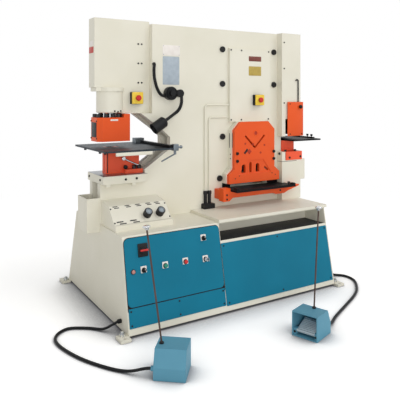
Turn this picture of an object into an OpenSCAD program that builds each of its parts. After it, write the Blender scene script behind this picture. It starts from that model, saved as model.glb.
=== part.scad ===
// Hydraulic ironworker with punching, shearing and notching stations.
// X runs along the machine, Y from front to back, Z up; the origin is the centre of the base on the floor.

/* [Cabinet] */
// Length of the cabinet between the outer faces of its end plates
base_len = 1680; // [1600:10:1800]
// Distance from the frame's mid-plane to the cabinet's front edge at the floor
base_front = 580; // [540:5:620]
// Distance from the frame's mid-plane to the cabinet's rear edge at the floor
base_rear = 585; // [540:5:620]
// Distance from the mid-plane to the front edge at deck height
deck_front = 468; // [440:2:500]
// Distance from the mid-plane to the rear edge at deck height
deck_rear = 393; // [360:2:420]
// Height of the cabinet's top sheet
base_h = 577; // [550:1:600]
// Clear height under the cabinet
foot_h = 15; // [10:1:25]
// Thickness of the cabinet's plates
sheet = 8; // [5:1:10]
// X of the upright between the control bay and the storage bay
mullion_x = -140; // [-180:1:-100]
// Depth of the storage bay behind the cabinet's front edge at its floor
bay_depth = 230; // [180:5:300]
// Drop of the storage bay's floor below the cabinet's top
bay_drop = 132; // [117:1:157]
// Thickness of the deck table over the right bay
deck_t = 20; // [14:1:28]
// Overhang of the deck table past the cabinet
deck_overhang = 12; // [6:1:20]
// Thickness of the blue panels
panel_t = 4; // [2:0.5:6]
// Corner radius of the control panel
panel_r = 30; // [10:1:40]

/* [Foot lugs] */
// Length of a foot lug along X
lug_l = 64; // [56:1:80]
// Width of a foot lug along Y
lug_w = 84; // [80:1:100]
// Thickness of a foot lug
lug_t = 18; // [12:1:24]
// Distance of the lugs' centres from the mid-plane
lug_y = 573; // [560:1:575]
// Radius of the anchor holes
anchor_r = 9; // [7:0.5:12]
// Distance between the anchor hole and the levelling bolt in a lug
lug_pitch = 42; // [36:1:46]
// Radius of the levelling bolts
level_r = 10; // [8:0.5:12]

/* [Frame] */
// Thickness of each frame plate
plate_t = 50; // [40:1:56]
// Clear gap between the two frame plates
plate_gap = 100; // [96:1:110]
// Height above the cabinet of the frame plates' top edge
frame_top_up = 1366; // [1323:1:1413]
// X of the frame's left edge above the punch throat
frame_left = -455; // [-470:1:-440]
// X of the frame's right end
frame_right = 877; // [870:1:900]
// X of the inner end of the punch throat
throat_x = -312; // [-330:1:-290]
// X of the inner end of the notch throat
notch_throat_x = 719; // [712:1:724]
// Radius of the tie bolts' shanks
tie_r = 12; // [9:0.5:14]
// Radius of the tie bolts' heads
tie_head_r = 22; // [18:0.5:25]
// Height of the tie bolts' heads
tie_head_h = 12; // [8:0.5:16]

/* [Punch station] */
// X of the punch axis
punch_x = -732; // [-740:1:-725]
// X of the punch head's left face
head_left = -863; // [-880:1:-850]
// Thickness of the punch head across the frame
head_t = 108; // [106:1:116]
// Height above the cabinet of the punch head's top
head_top_up = 1386; // [1373:1:1408]
// Height above the cabinet of the punch head's lower face over the cylinder
head_low_up = 915; // [903:1:923]
// Outer radius of the punch cylinder's nose
nose_r = 93; // [90:1:98]
// Height above the cabinet of the nose's lower face
nose_low_up = 742; // [735:1:747]
// Radius of the cylinder's bore
bore_r = 52; // [48:0.5:54]
// Radius of the ram
ram_r = 40; // [34:0.5:42]
// Working stroke of the punch ram
punch_stroke = 60; // [50:1:65]
// Radius of the punch tip
tip_r = 13; // [8:0.5:15]
// Clearance between punch and die on the radius
die_clear = 0.5; // [0.3:0.1:1]
// Outer radius of a die
die_r = 28; // [24:0.5:30]
// Height of a die
die_h = 43; // [35:1:50]
// Height above the cabinet of the punch table's top
table_z_up = 504; // [493:1:513]
// Thickness of the punch table
table_t = 12; // [8:0.5:15]
// X of the punch table's left edge
table_left = -880; // [-900:1:-860]
// X of the punch table's right edge
table_right = -390; // [-400:1:-380]
// Half the punch table's depth
table_half = 300; // [260:1:320]
// Height above the cabinet of the bolster's top
bolster_z_up = 321; // [313:1:328]
// Thickness of the bolster
bolster_t = 54; // [48:1:60]
// Half the bolster's depth
bolster_half = 151; // [140:1:160]

/* [Stripper guard] */
// Length of the stripper guard along X
guard_l = 229; // [220:1:240]
// Half the stripper guard's depth
guard_half = 86; // [82:1:92]
// Height above the cabinet of the stripper guard's lower face
guard_low_up = 547; // [541:1:553]
// Height above the cabinet of the stripper guard's roof
guard_top_up = 710; // [703:1:713]
// Wall of the stripper guard
guard_wall = 8; // [5:0.5:10]
// Size of the cut-off corners at the guard's left end
guard_cut = 30; // [20:1:33]
// Radius of the guard's hanging studs
stud_r = 8; // [6:0.5:9]

/* [Shear station] */
// X of the section plate's centre line
shear_x = 392; // [386:1:398]
// Thickness of the orange section plate
section_t = 30; // [24:1:36]
// Thickness of the backing plate behind it
backing_t = 50; // [44:1:56]
// Height above the cabinet of the section plate's top
section_top_up = 660; // [653:1:668]
// Height above the cabinet of the section plate's lower edge
section_low_up = 193; // [188:1:199]
// Depth of the shear cover in front of the frame
cover_t = 23; // [18:1:30]
// Height above the cabinet of the shear cover's top
cover_top_up = 1226; // [1203:1:1243]
// Half the shear cover's width
cover_half = 197; // [190:1:205]
// Height above the cabinet of the flat-bar feed table's top
feed_z_up = 158; // [153:1:159]
// Thickness of the feed table
feed_t = 12; // [8:0.5:15]
// Reach of the feed table in front of the mid-plane
feed_reach = 300; // [280:1:330]
// Stroke of the shear beam
shear_stroke = 50; // [40:1:55]
// Height above the cabinet of the lower blade's edge
blade_z_up = 160; // [159:0.5:163]
// Radius of the shear cylinder
shear_cyl_r = 46; // [40:1:48]

/* [Notch station] */
// Front face of the notch housing, measured from the mid-plane
notch_front = 162; // [155:1:168]
// X of the notch housing's left face
notch_left = 679; // [674:1:684]
// Height above the cabinet of the housing's lower edge over the throat
notch_low_up = 673; // [663:1:683]
// Height above the cabinet of the notch jaw's top
jaw_z_up = 337; // [328:1:341]
// X of the jaw's right end
jaw_right = 934; // [920:1:950]
// Height above the cabinet of the notch table's top
notch_table_z_up = 503; // [497:1:513]
// X of the notch table's right edge
notch_table_right = 1062; // [1020:1:1100]
// Half the notch table's depth
notch_table_half = 205; // [190:1:230]
// Side of the square notch punch along X
notch_w = 80; // [70:1:90]
// Travel of the notch guard
notch_guard_travel = 120; // [60:5:140]
// Sheet of the notch guard
notch_sheet = 6; // [4:0.5:8]

/* [Controls] */
// Side of a stop box
box_side = 84; // [76:1:90]
// Depth of a stop box
box_depth = 45; // [40:1:50]
// Radius of a stop mushroom
mushroom_r = 20; // [18:0.5:24]
// Travel of a stop button
stop_travel = 6; // [3:0.5:7]
// Side of a legend plate
legend = 40; // [36:1:46]
// Radius of a control bezel
bezel_r = 15; // [13:0.5:17]
// Radius of a push-button's plunger
plunger_r = 11; // [9:0.5:12]
// Travel of a push-button
button_travel = 4; // [2:0.5:5]

/* [Lamp] */
// Radius of the lamp's magnetic base
lamp_base_r = 48; // [42:1:54]
// Depth of the magnetic base
lamp_base_t = 36; // [30:1:42]
// Radius of the gooseneck and its conduit
neck_r = 11; // [8:0.5:12]
// Radius of the lamp head
lamp_head_r = 39; // [35:1:42]
// Length of the lamp head
lamp_head_l = 106; // [95:1:115]

/* [Pedals] */
// Width of a pedal hood
pedal_w = 166; // [150:1:180]
// Depth of a pedal hood at the floor
pedal_d = 175; // [165:1:190]
// Height of a pedal hood
pedal_h = 146; // [130:1:160]
// Depth of a pedal's flat roof
pedal_roof = 138; // [125:1:145]
// Height of a pedal's rear wall
pedal_rear_h = 62; // [58:1:80]
// Wall of a pedal hood
pedal_wall = 6; // [4:0.5:8]
// Length of a pedal's carry rod
rod_l = 606; // [500:2:700]
// Radius of a carry rod
rod_r = 4.5; // [3:0.5:6]
// Radius of a pedal cable
cable_r = 8; // [6:0.5:9]

/* [Hidden] */
$fn = 48;
clr = 0.3;
run = 0.05;
beige = [0.88, 0.86, 0.79];
teal = [0.12, 0.49, 0.63];
pedal_blue = [0.36, 0.61, 0.73];
orange = [0.93, 0.37, 0.17];
black = [0.07, 0.07, 0.08];
steel = [0.62, 0.64, 0.66];
bright = [0.82, 0.83, 0.84];

// Heights above the floor
frame_top = base_h + frame_top_up;
head_top = base_h + head_top_up;
head_low = base_h + head_low_up;
nose_low = base_h + nose_low_up;
table_z = base_h + table_z_up;
bolster_z = base_h + bolster_z_up;
guard_low = base_h + guard_low_up;
guard_top = base_h + guard_top_up;
section_top = base_h + section_top_up;
section_low = base_h + section_low_up;
cover_top = base_h + cover_top_up;
feed_z = base_h + feed_z_up;
blade_z = base_h + blade_z_up;
notch_low = base_h + notch_low_up;
jaw_z = base_h + jaw_z_up;
notch_table_z = base_h + notch_table_z_up;
bay_floor_z = base_h - bay_drop;

// Cabinet values
half_len = base_len / 2;
inner_half = half_len - sheet;
front_lean = (base_front - deck_front) / base_h;
rear_lean = (base_rear - deck_rear) / base_h;
front_tilt = atan(front_lean);
front_skin = sheet / cos(front_tilt);
rear_skin = sheet / cos(atan(rear_lean));
floor_z = foot_h + sheet;
deck_z = base_h + deck_t;
bay_back_y = front_y(bay_floor_z) + bay_depth;
panel_gap = 6;
panel_lap = 20;
left_panel_x0 = -half_len + 9;
left_panel_x1 = mullion_x - 4;
right_panel_x0 = mullion_x - 2 + sheet / 2;
right_panel_x1 = half_len - 12;
panel_foot = 54;
panel_drop = 14.8;
lower_h = 112;
lower_v0 = panel_foot;
control_v0 = lower_v0 + lower_h + panel_gap;
control_v1 = base_h / cos(front_tilt) - panel_drop;
right_v1 = bay_floor_z / cos(front_tilt) - 3.3;
strip_h = 18;

// Frame values
frame_half = plate_gap / 2 + plate_t;
gap_half = plate_gap / 2;
face_y = -frame_half;
jaw_top = bolster_z - bolster_t;
jaw_left = punch_x - 108;
cheek_z = nose_low - 6;
flare = 85;
throat_in = [[frame_left, cheek_z], [frame_left - flare, cheek_z], [throat_x - 65, base_h + 618],
  [throat_x, base_h + 562], [throat_x, base_h + 480]];
throat_foot = [-513, base_h + 344];
arm_low = base_h + 723;
arm_top = arm_low + 150;
tie_share = [0.694, 0.158];
tie_z = [for (f = tie_share) arm_top + f * (frame_top - arm_top)];
tie_points = [[139, tie_z[0]], [139, tie_z[1]], [139, base_h + 548], [113, base_h + 231], [641, tie_z[0]],
  [641, tie_z[1]]];

// Punch values
head_half = head_t / 2;
flange_t = 27;
flange_in = 12;
gland_t = 26;
piston_t = 50;
piston_low = head_low - 2 - piston_t;
strip_t = 14;
nut_h = 50;
nut_r = 38;
nut_play = 2;
ram_low = guard_low + strip_t + nut_play + punch_stroke + nut_h;
tip_low = guard_low + 4;
holder_top = table_z - table_t;
holder_left = punch_x - 40;
holder_right = throat_foot[0] - 14;
holder_half = 37;
holder_flange_half = 80;
holder_flange_t = 28;
seat_low = table_z + 2 - die_h;
insert_half = [55, 35];
table_cut = 1;
stud_pos = [45, 55];
stud_hole_depth = 55;
gauge_w = 28;
gauge_h = 20;
gauge_x0 = table_right - gauge_w - 2;
clamp_l = 40;
die_hub = [-650, base_h + 423];
die_arm = 132;
die_drop = 26;

// Shear values
section_y = -frame_half - backing_t - section_t;
backing_y = -frame_half - backing_t;
cover_y = -frame_half - cover_t;
section_half = [132, 194, 243];
section_steps = [section_top - 61, section_low + 108, section_low + 68];
lip = 8;
shear_rod_r = 22;
shear_bore_r = 38;
window_half = 135;
window_z = [base_h + 259, base_h + 579];
flat_half = 180;
flat_top = section_low + 6;
beam_half = 147;
beam_low = flat_top;
arm_right = 860;
beam_y = gap_half - 0.5;
blade_split = -7;
v_tip = [shear_x, base_h + 459];
v_arm = 140;
v_slot = 14;
bar_x = [-106, -39, 29];
bar_w = [40, 22, 34];
bar_low = window_z[0] + 10;
bar_h = [64, 78, 66];
bar_hole = [26, 16, 24];
recess_top = bar_low + 93;
recess_low = bar_low - 8;
recess_depth = 5;
recess_x = [-63, 84, 158];
skew_at = [114, bar_low + 20];
skew_size = [46, 15];
skew_turn = -38;

// Notch values
notch_spine = 36;
notch_mid = notch_throat_x + 81;
jaw_low = base_h + 171;
jaw_half = 150;
die_base_t = 68;
die_base_half = 166;
die_base_right = 890;
notch_table_t = 12;
notch_die_half = 90;
notch_die_w = 136;
spine_low = base_h + 531;
spine_top = jaw_z + die_base_t;
punch_half = 40;
notch_play = 1;
notch_tip = notch_table_z + 35;
guard_z = [base_h + 533, base_h + 811];
guard_x = [728, 894];
guard_y = notch_front + 9;

// Control positions on the sloped front, as X and height along the slope
main_switch = [-711, control_v1 - 80];
pilot_at = [-784, control_v1 - 199];
mode_at = [-714, control_v1 - 199];
green_at = [-566, control_v1 - 196];
red_at = [-421, control_v1 - 195];
function_at = [-271, control_v1 - 69];
key_at = [-271, control_v1 - 203];
bezel_h = 7;
legend_t = 2;
stop_left = [-563, base_h + 843];
stop_right = [454, base_h + 827];

// Lamp values
lamp_at = [-318, base_h + 876];
lamp_knob_x = 56;
lamp_boss = 8;
swivel_r = 8;
neck_y = -152;
neck_top = [-246, lamp_at[1] - 51];
neck_bend = 104;
neck_sweep = 57;
neck_lap = 1.5;
neck_run = 110;
neck_end = neck_top - [neck_bend, 0] + neck_bend * [cos(neck_sweep), -sin(neck_sweep)];
lamp_tail = neck_end - (neck_run - 8) * [sin(neck_sweep), cos(neck_sweep)];
lamp_turn = -122;
conduit_run = [[-443, -110, 208], [-448, -121, 198], [-452, -124, 165], [-450, -124, 120], [-441, -124, 74],
  [-423, -123, 26], [-395, -121, -9], [-362, -120, -19]];
conduit_points = [for (p = conduit_run) p + [0, 0, lamp_at[1]]];

// Pedal values: place of the rear wall's middle on the floor and the mouth's heading
left_pedal = [-852, -1104, 50.8];
right_pedal = [211, -1052, 199.1];
rod_foot = [[-58, 92, [-68, 41]], [-4, 60, [23, -14]]];
treadle_pivot = [0, 152, 30];
treadle_tilt = 24;
pin_r = 7;
pin_half = 70;
treadle_w = 118;
treadle_l = 104;
treadle_t = 9;
treadle_toe = 8;
rib_pitch = 12;
rib_w = 5;
rib_h = 4;
bracket_half = 12;
gland_r = 13;
gland_l = 22;
left_gland = [-half_len, -460, 67];
right_gland = [half_len, -398, 62];
left_route = [left_gland - [gland_l, 0, 0], left_gland + [-50, 10, -15], [-935, -400, 16],
  [-1000, -325, 9], [-1110, -268, 9], [-1200, -330, 9], [-1218, -450, 9], [-1165, -650, 9], [-1075, -825, 9], [-1000, -925, 14],
  [-940, -1004, 46], [-914, -1025, 50]];
right_route = [[242, -1096, 45], [271, -1086, 38], [330, -1050, 13], [430, -988, 9], [620, -895, 9],
  [800, -805, 9], [930, -715, 9], [1040, -590, 9], [1055, -480, 9], [985, -415, 14],
  right_gland + [65, -2, -12], right_gland + [gland_l, 0, 0]];

// Y of the cabinet's front and rear skins at a height
function front_y(z) = -base_front + front_lean * z;
function rear_y(z) = base_rear - rear_lean * z;

// Smooth curve through hand-chosen points, with a few steps in each span
function spline_at(p, i, t) =
  let (n = len(p) - 1, a = p[max(i - 1, 0)], b = p[i], c = p[i + 1], d = p[min(i + 2, n)])
  0.5 * (2 * b + (c - a) * t + (2 * a - 5 * b + 4 * c - d) * t * t + (3 * b - a - 3 * c + d) * t * t * t);
function spline(p, steps) = concat(
  [for (i = [0 : len(p) - 2], s = [0 : steps - 1]) spline_at(p, i, s / steps)], [p[len(p) - 1]]);
function unit(v) = v / norm(v);
function heading(p, i) = unit(p[min(i + 1, len(p) - 1)] - p[max(i - 1, 0)]);
function ring_at(p, i, r, sides, ref) =
  let (t = heading(p, i), s = unit(cross(t, ref)), u = cross(s, t))
  [for (k = [0 : sides - 1]) p[i] + r * (cos(360 * k / sides) * s + sin(360 * k / sides) * u)];

// Round tube swept along a list of points, with flat ends
module tube_along(p, r, sides, ref) {
  n = len(p);
  points = [for (i = [0 : n - 1]) each ring_at(p, i, r, sides, ref)];
  walls = [for (i = [0 : n - 2], k = [0 : sides - 1])
    [i * sides + k, (i + 1) * sides + k, (i + 1) * sides + (k + 1) % sides, i * sides + (k + 1) % sides]];
  start = [for (k = [0 : sides - 1]) k];
  finish = [for (k = [sides - 1 : -1 : 0]) (n - 1) * sides + k];
  polyhedron(points = points, faces = concat(walls, [start, finish]), convexity = 6);
}

// Box between two corners
module block(x, y, z) {
  translate([x[0], y[0], z[0]]) cube([x[1] - x[0], y[1] - y[0], z[1] - z[0]]);
}

// Outline in X and Z made into a plate between two Y values
module plate_y(y0, y1) {
  translate([0, y1, 0]) rotate([90, 0, 0]) linear_extrude(y1 - y0) children();
}

// Outline in Y and Z made into a bar between two X values
module bar_x_from(x0, x1) {
  translate([x0, 0, 0]) rotate([90, 0, 90]) linear_extrude(x1 - x0) children();
}

module rod_y(x, z, y0, y1, r) {
  translate([x, y0, z]) rotate([-90, 0, 0]) cylinder(h = y1 - y0, r = r);
}

module rod_x(y, z, x0, x1, r) {
  translate([x0, y, z]) rotate([0, 90, 0]) cylinder(h = x1 - x0, r = r);
}

module rod_z(x, y, z0, z1, r) {
  translate([x, y, z0]) cylinder(h = z1 - z0, r = r);
}

// Places children on the sloped front: X, outward distance as -Y, height along the slope as Z
module on_front(at = [0, 0]) {
  translate([0, -base_front, 0]) rotate([-front_tilt, 0, 0]) translate([at[0], 0, at[1]]) children();
}

// Rectangle with round corners
module round_rect(x, y, r) {
  translate([x[0] + r, y[0]]) square([x[1] - x[0] - 2 * r, y[1] - y[0]]);
  translate([x[0], y[0] + r]) square([x[1] - x[0], y[1] - y[0] - 2 * r]);
  for (cx = [x[0] + r, x[1] - r], cy = [y[0] + r, y[1] - r])
    translate([cx, cy]) circle(r);
}

// Side profile of the cabinet, drawn in by a wall and cut to a height span
module cabinet_profile(front_in, rear_in, z0, z1) {
  polygon([[front_y(z0) + front_in, z0], [rear_y(z0) - rear_in, z0],
    [rear_y(z1) - rear_in, z1], [front_y(z1) + front_in, z1]]);
}

module front_opening(x, v) {
  on_front() block(x, [-2 * sheet, 2 * sheet], v);
}

// Sheet cabinet with panel openings, storage bay and slots for the frame plates
module base_cabinet() {
  color(beige) {
    difference() {
      bar_x_from(-half_len, half_len) cabinet_profile(0, 0, foot_h, base_h);
      bar_x_from(-inner_half, inner_half) cabinet_profile(front_skin, rear_skin, floor_z, base_h - sheet);
      block([-inner_half, inner_half], [-frame_half, frame_half], [base_h - 2 * sheet, base_h + sheet]);
      front_opening([left_panel_x0 + panel_lap, left_panel_x1 - panel_lap],
        [control_v0 + panel_lap, control_v1 - panel_lap]);
      front_opening([right_panel_x0 + panel_lap, right_panel_x1 - panel_lap],
        [lower_v0 + panel_lap, right_v1 - panel_lap]);
      front_opening([mullion_x + sheet / 2, inner_half], [right_v1 + strip_h, (base_h - sheet) / cos(front_tilt)]);
    }
    bar_x_from(mullion_x - sheet / 2, mullion_x + sheet / 2)
      polygon([[front_y(floor_z) + front_skin, floor_z], [-frame_half, floor_z], [-frame_half, base_h - sheet],
        [front_y(base_h - sheet) + front_skin, base_h - sheet]]);
    bar_x_from(mullion_x, inner_half)
      polygon([[front_y(bay_floor_z) + front_skin / 2, bay_floor_z], [bay_back_y + sheet, bay_floor_z],
        [bay_back_y + sheet, base_h - sheet / 2], [bay_back_y, base_h - sheet / 2],
        [bay_back_y, bay_floor_z + sheet], [front_y(bay_floor_z + sheet) + front_skin / 2, bay_floor_z + sheet]]);
  }
}

module deck_table() {
  color(beige)
    block([mullion_x, half_len + deck_overhang + 3], [-deck_front - deck_overhang, face_y], [base_h, deck_z]);
}

// Floor lugs, each with an anchor hole and a levelling bolt
module levelling_feet() {
  color(beige) for (sx = [-1, 1], sy = [-1, 1]) foot_lug(sx, sy);
}

module foot_lug(sx, sy) {
  x0 = sx > 0 ? half_len : -half_len - lug_l;
  mid_x = x0 + lug_l / 2;
  difference() {
    union() {
      block([x0, x0 + lug_l], [sy * lug_y - lug_w / 2, sy * lug_y + lug_w / 2], [0, lug_t]);
      rod_z(mid_x, sy * (lug_y - lug_pitch / 2), 0, lug_t + 26, level_r);
      translate([mid_x, sy * (lug_y - lug_pitch / 2), lug_t]) cylinder(h = 13, r = 1.8 * level_r, $fn = 6);
    }
    rod_z(mid_x, sy * (lug_y + lug_pitch / 2), -1, lug_t + 1, anchor_r);
  }
}

module front_panel(x, v, r) {
  on_front() plate_y(-panel_t, 0) round_rect(x, v, r);
}

module panel_hole(at, r) {
  on_front(at) rod_y(0, 0, -2 * panel_t, panel_t, r);
}

module control_panel() {
  color(teal) difference() {
    front_panel([left_panel_x0, left_panel_x1], [control_v0, control_v1], panel_r);
    for (at = [mode_at, green_at, red_at, function_at, key_at, main_switch]) panel_hole(at, plunger_r + 1);
  }
}

module lower_panel() {
  color(teal) front_panel([left_panel_x0, left_panel_x1], [lower_v0, control_v0 - panel_gap], 4);
}

module right_panel() {
  color(teal) front_panel([right_panel_x0, right_panel_x1], [lower_v0 - 6, right_v1], 4);
}

// Outline shared by both frame plates
module frame_outline() {
  polygon(concat([[-inner_half, floor_z], [inner_half, floor_z], [inner_half, base_h], [frame_right, base_h],
    [frame_right, jaw_low], [notch_throat_x, jaw_low], [notch_throat_x, notch_low], [frame_right, notch_low],
    [frame_right, frame_top], [frame_left, frame_top]], throat_in,
    [throat_foot, [throat_foot[0], jaw_top], [jaw_left, jaw_top], [jaw_left, base_h], [-inner_half, base_h]]));
}

module bar_window(pad) {
  translate([shear_x - window_half - pad, window_z[0] - pad])
    square([2 * window_half + 2 * pad, window_z[1] - window_z[0] + 2 * pad]);
}

module flat_window() {
  translate([shear_x - flat_half, blade_z]) square([2 * flat_half, flat_top - blade_z]);
}

module frame_plate(y0) {
  color(beige) plate_y(y0, y0 + plate_t) difference() {
    frame_outline();
    bar_window(0);
    flat_window();
    for (p = tie_points) translate(p) circle(tie_r + clr);
  }
}

module front_frame_plate() { frame_plate(-frame_half); }

module rear_frame_plate() { frame_plate(gap_half); }

// Tie bolts with a spacer tube between the plates
module frame_bolts() {
  color(black) for (p = tie_points) {
    rod_y(p[0], p[1], -frame_half - tie_head_h, frame_half + tie_head_h, tie_r);
    rod_y(p[0], p[1], -frame_half - tie_head_h, -frame_half, tie_head_r);
    rod_y(p[0], p[1], frame_half, frame_half + tie_head_h, tie_head_r);
    rod_y(p[0], p[1], -gap_half, gap_half, tie_r + 7);
  }
}

// Head box that hangs over the punch cylinder, with a tongue between the frame plates
module punch_head() {
  shoulder_x = punch_x + 59;
  color(beige) {
    plate_y(-head_half, head_half)
      polygon([[head_left, head_low], [head_left, head_top], [frame_left, head_top], [frame_left, cheek_z],
        [shoulder_x, cheek_z], [shoulder_x, head_low]]);
    block([frame_left - 1, frame_left + 125], [-gap_half, gap_half], [cheek_z + 20, frame_top - 60]);
  }
}

// Hydraulic cylinder nose under the head, bored for piston and ram
module punch_cylinder() {
  low_edge = 5;
  color(beige) translate([punch_x, 0, 0]) difference() {
    union() {
      rotate_extrude() polygon([[ram_r + run, nose_low], [nose_r - low_edge, nose_low], [nose_r, nose_low + low_edge],
        [nose_r, head_low - flange_t], [nose_r + 6, head_low - flange_t], [nose_r + 6, head_low],
        [bore_r, head_low], [bore_r, nose_low + gland_t], [ram_r + run, nose_low + gland_t]]);
      block([head_left + flange_in - punch_x, nose_r], [-head_half, head_half], [head_low - flange_t, head_low]);
    }
    rod_z(0, 0, head_low - flange_t - 1, head_low + 1, bore_r);
    for (sx = [-1, 1], sy = [-1, 1])
      rod_z(sx * stud_pos[0], sy * stud_pos[1], nose_low - 1, nose_low + stud_hole_depth, stud_r + clr);
    block([59, nose_r + 20], [-head_half - clr, head_half + clr], [nose_low - 1, head_low + 1]);
  }
}

module punch_bolster() {
  color(beige) difference() {
    block([jaw_left + 3, throat_foot[0] - clr], [-bolster_half, bolster_half], [jaw_top, bolster_z]);
    rod_z(punch_x, 0, jaw_top - 1, bolster_z + 1, die_r);
  }
}

// Open box for slugs on the left end, with a chute between the frame plates
module slug_box() {
  wall = 4;
  depth = 90;
  chute_z = 120;
  chute_t = 8;
  x1 = min(jaw_left, -half_len);
  x = [x1 - depth, x1];
  y = [-98, 86];
  z = [base_h - 51, jaw_top - 91];
  chute_half = gap_half - clr;
  color(beige) {
    difference() {
      block(x, y, z);
      block([x[0] + wall, x[1] - wall], [y[0] + wall, y[1] - wall], [z[0] + wall, z[1] + 1]);
      block([x[1] - wall - 1, x[1] + 1], [-chute_half + wall, chute_half - wall], [z[0] + chute_z, z[1] + 1]);
    }
    plate_y(-chute_half, chute_half)
      polygon([[x[1] - wall, z[0] + chute_z - chute_t], [x[1] - wall, z[0] + chute_z], [punch_x + 60, z[1] + 22],
        [punch_x + 60, z[1] + 22 - chute_t]]);
  }
}

// Die holder with a seat for the die and a clamping flange
module die_holder() {
  flange_left = die_hub[0];
  slit = 6;
  color(orange) difference() {
    union() {
      block([holder_left, holder_right], [-holder_half, holder_half], [bolster_z, holder_top]);
      block([flange_left, throat_foot[0] - 4], [-holder_flange_half, holder_flange_half],
        [bolster_z, bolster_z + holder_flange_t]);
      block([punch_x - insert_half[0] + 12, punch_x + insert_half[0]], [-insert_half[1], insert_half[1]],
        [holder_top - 1, table_z]);
    }
    rod_z(punch_x, 0, bolster_z - 1, table_z + 1, tip_r + 6);
    rod_z(punch_x, 0, seat_low, table_z + 1, die_r + clr);
    block([holder_left - 1, punch_x - die_r + 4], [-slit, slit], [bolster_z + 8, holder_top - 12]);
    rod_y(die_hub[0], die_hub[1], -holder_half - 1, -holder_half + 21, 8 + run);
  }
}

module die_at(x, y, z) {
  translate([x, y, z]) rotate_extrude()
    polygon([[tip_r + die_clear, 0], [die_r - 2, 0], [die_r, 2], [die_r, die_h - 2], [die_r - 2, die_h],
      [tip_r + die_clear, die_h]]);
}

// The die in its seat and two spare dies on the tool rack
module dies() {
  color(black) {
    die_at(punch_x, 0, seat_low);
    for (x = spare_x) translate([x, spare_at[0], spare_at[1]]) rotate([rack_slope, 0, 0]) die_at(0, 0, 0);
  }
}

// Punch table with an opening round the die and a rail under its front edge
module punch_table() {
  rail = [20, 10];
  color(steel) {
    difference() {
      block([table_left, table_right], [-table_half, table_half], [holder_top, table_z]);
      block([punch_x - insert_half[0] + 12 - table_cut, punch_x + insert_half[0] + table_cut],
        [-insert_half[1] - table_cut, insert_half[1] + table_cut], [holder_top - 1, table_z + 1]);
    }
    block([table_left + 75, table_left + 330], [-table_half, -table_half + rail[1]],
      [holder_top - rail[0], holder_top]);
  }
}

// Gauge bar on the table's right edge, with a clamp block at its front end
module gauge_bar() {
  color(black) block([gauge_x0, gauge_x0 + gauge_w], [-table_half + 2, table_half - 2], [table_z, table_z + gauge_h]);
  color(bright) block([table_right, table_right + clamp_l], [-table_half, -table_half + clamp_l],
    [table_z - 21, table_z + 24]);
}

// Tool rack: folded sheet that steps down from the frame to a lip on the deck
rack_x = [jaw_left + 8, -424];
rack_back_z = base_h + 161;
rack_edge = [-232, base_h + 139];
rack_foot = [-330, base_h + 39];
rack_lip_y = -352;
rack_t = 5;
rack_slope = atan2(rack_edge[1] - rack_foot[1], rack_edge[0] - rack_foot[0]);
rack_points = [[face_y, rack_back_z], rack_edge, rack_foot, [rack_lip_y, rack_foot[1]], [rack_lip_y, base_h]];
spare_x = [-590, -497];
spare_along = 0.66;
spare_at = rack_edge + spare_along * (rack_foot - rack_edge);

module rack_profile() {
  polygon(concat(rack_points, [[rack_lip_y + rack_t, base_h], [rack_lip_y + rack_t, rack_foot[1] - rack_t],
    rack_foot + [2, -rack_t], rack_edge + [2, -rack_t - 2], [face_y, rack_back_z - rack_t]]));
}

module tool_rack() {
  color(beige) {
    bar_x_from(rack_x[0], rack_x[1]) rack_profile();
    for (x = [rack_x[0], rack_x[1] - rack_t]) bar_x_from(x, x + rack_t)
      polygon(concat(rack_points, [[face_y, base_h]]));
  }
}

module shear_cover() {
  wall = 4;
  x = [shear_x - cover_half, shear_x + cover_half];
  color(beige) difference() {
    block(x, [cover_y, face_y], [section_top, cover_top]);
    block([x[0] + wall, x[1] - wall], [cover_y + wall, face_y + 1], [section_top + wall, cover_top - wall]);
  }
}

// Section plate outline; pad grows its sides but not its top
module section_outline(pad) {
  h = section_half;
  polygon([[shear_x - h[0] - pad, section_top], [shear_x + h[0] + pad, section_top],
    [shear_x + h[1] + pad, section_steps[0]], [shear_x + h[1] + pad, section_steps[1] + pad],
    [shear_x + h[2] + pad, section_steps[2] + pad], [shear_x + h[2] + pad, section_low],
    [shear_x - h[2] - pad, section_low], [shear_x - h[2] - pad, section_steps[2] + pad],
    [shear_x - h[1] - pad, section_steps[1] + pad], [shear_x - h[1] - pad, section_steps[0]]]);
}

module shear_backing() {
  color(beige) plate_y(backing_y, face_y) difference() {
    section_outline(lip);
    bar_window(0);
  }
}

// Two slots that meet in a V, for angle bars
module v_slots(width, reach) {
  for (side = [-1, 1]) translate(v_tip) rotate(side * 45) translate([-width / 2, -width / 2]) square([width, reach]);
}

// Bar openings of the section plate: three upright slots with round tops
module bar_slots() {
  for (i = [0 : 2]) {
    translate([shear_x + bar_x[i] - bar_w[i] / 2, bar_low]) square([bar_w[i], bar_h[i] - bar_w[i] / 2]);
    translate([shear_x + bar_x[i], bar_low + bar_h[i] - bar_w[i] / 2]) circle(bar_w[i] / 2);
  }
}

// Slanted window for flat bar beside the upright slots
module skew_window() {
  translate([shear_x + skew_at[0], skew_at[1]]) rotate(skew_turn) square(skew_size, center = true);
}

// Shallow field round the bar openings
module recess_outline() {
  polygon([[shear_x + recess_x[0], recess_top], [shear_x + recess_x[1], recess_top],
    [shear_x + recess_x[2], recess_low], [shear_x - recess_x[2], recess_low]]);
}

module section_plate() {
  color(orange) difference() {
    plate_y(section_y, backing_y) difference() {
      section_outline(0);
      v_slots(v_slot, v_arm);
      bar_slots();
      skew_window();
    }
    plate_y(section_y - 1, section_y + recess_depth) recess_outline();
  }
}

module feed_table() {
  color(black) difference() {
    block([137, 703], [-feed_reach, face_y], [feed_z - feed_t, feed_z]);
    block([notch_left - 1, 704], [-notch_front - 1, face_y + 1], [feed_z - feed_t - 1, feed_z + 1]);
  }
}

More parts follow.
